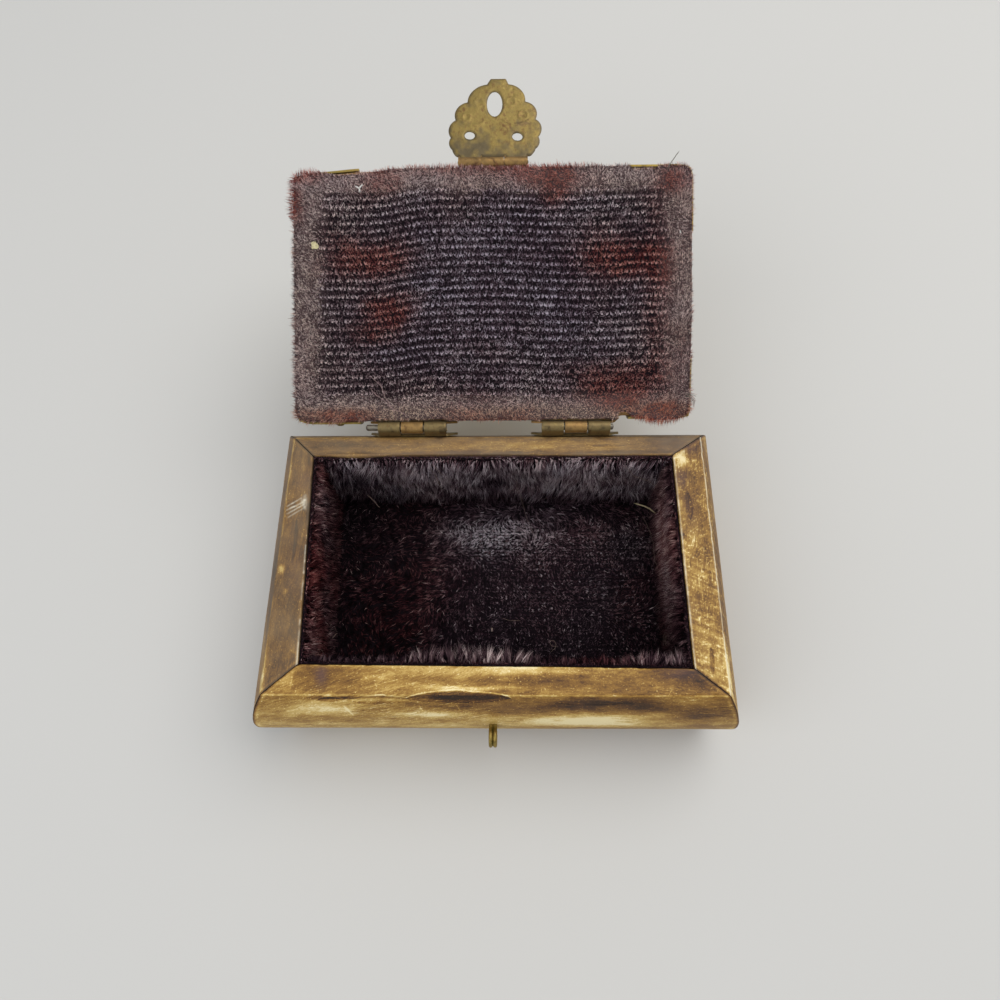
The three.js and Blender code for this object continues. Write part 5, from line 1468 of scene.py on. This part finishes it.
def hasp_relief(x, y, d, inner):
    """How far the stamped pattern stands out, towards the side seen when open."""
    x, y = x - 0.45, y - 0.4
    h = 0.08 * ramp01(d, 0.4, 0.8) - 0.03 * ridge(d - 0.95, 0.2) + 0.02 * ramp01(inner, 0.1, 0.4)
    for cy, cx, r, a in ((-6.56, 11.1, 0.9, 0.1), (6.5, 11.5, 1.05, 0.1), (3.7, 14.8, 1.0, 0.08),
                         (-3.7, 14.8, 1.0, 0.05)):
        rho = np.hypot(x - cx, y - cy)
        h = h + a * ridge(rho - r, 0.2) - 0.05 * ridge(rho, 0.35)
    for y0, x0, y1, x1, sag in ((-8.1, 10.3, -2.2, 9.9, 0.95), (1.56, 10.6, 8.3, 10.6, 1.4)):
        t = (y - y0) / (y1 - y0)
        path = x0 + (x1 - x0) * t - sag * 4 * t * (1 - t)
        h = h + 0.1 * ridge(x - path, 0.24) * ramp01(t, 0, 0.1) * (1 - ramp01(t, 0.9, 1))
    for cy, cx in ((4.2, 16.4), (4.1, 18.0)):
        h = h - 0.12 * ridge(np.hypot(x - cx, y - cy), 0.32)
    h = h + 0.025 * ridge(np.hypot((x - 14.55) / 3.3, (y + 0.07) / 1.8) - 1.25, 0.1)
    for sy in (-5.5, 5.5):
        h = h + 0.02 * ridge(np.hypot((x - 6.45) / 0.95, (y - sy + 0.32) / 1.2) - 1.5, 0.2)
    return h + 0.12 * wander(x, y, 0.45, 0.45, 601, 3) + 0.05 * wander(x, y, 1.6, 1.6, 602)


def hasp_plate():
    cell = 0.26
    outline, *holes = [smooth_loop(out_of_true(loop, k > 0), 0.02, 0.07 if k else 0.05, lambda a, b: 0.22)
                       for k, loop in enumerate(plate_loops())]

    def on_plate(p):
        return inside_loop(p, outline) & ~np.any([inside_loop(p, hole) for hole in holes], axis=0)
    grid = np.stack(np.meshgrid(np.arange(1.0, 21.8, cell), np.arange(-11, 12, cell), indexing="ij"), -1).reshape(-1, 2)
    grid[:, 1] += cell / 2 * (np.round(grid[:, 0] / cell).astype(int) % 2)
    keep = on_plate(grid) & (distance_to(grid, outline) > 0.16)
    for hole in holes:
        keep &= distance_to(grid, hole) > 0.14
    points, edges = [tuple(p) for p in grid[keep]], []
    for loop in (outline, *holes):
        first, n = len(points), len(loop)
        points += [tuple(p) for p in loop]
        edges += [(first + k, first + (k + 1) % n) for k in range(n)]
    found = delaunay_2d_cdt([Vector(p) for p in points], edges, [], 0, 1e-6)
    p, tri = np.array([tuple(v) for v in found[0]]), np.array([f for f in found[2] if len(f) == 3])
    tri = tri[on_plate(p[tri].mean(1))]
    back = np.cross(p[tri[:, 1]] - p[tri[:, 0]], p[tri[:, 2]] - p[tri[:, 0]]) < 0
    tri[back] = tri[back][:, ::-1]
    x, y = p.T
    outer, inner = distance_to(p, outline), np.minimum.reduce([distance_to(p, hole) for hole in holes])
    d, n = np.minimum(outer, inner), len(p)
    lift, round_off = hasp_relief(x, y, outer, inner), 0.14 * (1 - ramp01(d, 0, 0.3)) ** 2
    v = np.concatenate([rows_of(x, y, PLATE_BACK - lift * 0.8 - round_off),
                        rows_of(x, y, PLATE_FACE + 0.02 - lift + round_off)])
    directed = {(a, b) for f in tri.tolist() for a, b in zip(f, f[1:] + f[:1])}
    a, b = np.array(sorted(e for e in directed if e[::-1] not in directed)).T
    edge = 0.8 * np.clip(1 - d / 0.6, 0, 1) + 0.6 * (1 - ramp01(x, 2.5, 7.5))
    edge = edge + blobs(x, y, (5, -5, 3, 4, 0.5), (14, 0, 6, 6, -0.3))
    dirt = np.clip(edge + fbm(x * 0.7, y * 0.7, seed=611) * 1.8 - 0.85, 0, 1)
    make("hasp_plate_brass", v, [tri, tri[:, ::-1] + n, np.stack([b, a, a + n, b + n], 1)], HASP_BRASS, "hasp",
         ["hasp_plate"], sharp=50, uv=both_faces(0.01 + 0.48 * x / 22, 0.5 + y / 24), grime=np.tile(dirt, 2))
    # its strip bends down to the knuckles, which are rolled from the same sheet
    start, end = np.radians([95, 95 - 330])
    bore = arc((0, 0), HASP_BORE, end, start, 40)[:-4]
    section = np.array([(2.9, 1.2), (1.0, HASP_BARREL), *arc((0, 0), HASP_BARREL, start, end, 40), *bore,
                        (1.0, 0.74), (2.9, 0.74)])
    for k, middle in enumerate((-5.3, 5.3)):
        rows = middle + np.linspace(-2.74, 2.62, 16) * math.copysign(1, middle)
        v = rows_of(section[:, 0], rows[:, None], section[:, 1])
        v = shaken(v.reshape(-1, 3), 0.03, 2, 1, 620)
        tube(f"hasp_knuckle_{k + 1}", v.reshape(16, -1, 3), BRASS_RED, "hasp", sharp=40,
             grime=grime_on(v, 1, 625, 1.4, 0.55))


hasp_plate()


# The staple: doubled half-round wire, bent into an eye and driven into the front wall

def staple():
    half, inside = 0.36, -26.0  # half the gap between the legs, and how far in they reach
    legs = inside + (STAPLE_Y + 1.9 - inside) * np.linspace(0, 1, 14)[:-1]
    start = math.asin(half / STAPLE_RING) + math.radians(14)
    ring = np.array([(y, z, 0.9 - 0.12 * (y - STAPLE_Y > 0.85 * STAPLE_RING))
                     for y, z in arc((STAPLE_Y, STAPLE_Z), STAPLE_RING, start, TURN - start, 64)])
    pts = np.concatenate([rows_of(legs, STAPLE_Z + half, 0.78), ring, rows_of(legs[::-1], STAPLE_Z - half, 0.78)])
    path, thick = pts[:, :2].copy(), pts[:, 2, None] / STAPLE_WIRE
    for _ in range(2):
        path[1:-1] = 0.5 * path[1:-1] + 0.25 * (path[2:] + path[:-2])
    way = unit(np.gradient(path, axis=0))
    k = np.arange(32) * TURN / 32
    # two round wires lying side by side
    across = 0.88 * np.cos(k)
    radial = 0.45 * np.sign(np.sin(k)) * np.sqrt(np.clip(1 - ((np.abs(across) - 0.44) / 0.45) ** 2, 0, 1))
    radial = radial * (1 - 0.32 * ridge(across, 0.2)) * np.where(np.abs(across) < 0.1, 0.9, 1.0)
    v = rows_of(across, path[:, :1] - way[:, 1:] * radial * thick, path[:, 1:] + way[:, :1] * radial * thick)
    v = shaken(v.reshape(-1, 3), 0.05, (1, 1.4, 1.4), 5, 640)
    tube("staple_brass", v.reshape(len(path), -1, 3), BRASS, "base", ["staple_eye"], sharp=50,
         grime=grime_on(v, (2, 1, 1), 645, 1.6, 0.75, 0.5 * (np.abs(v[:, 0]) < 0.15)))


staple()
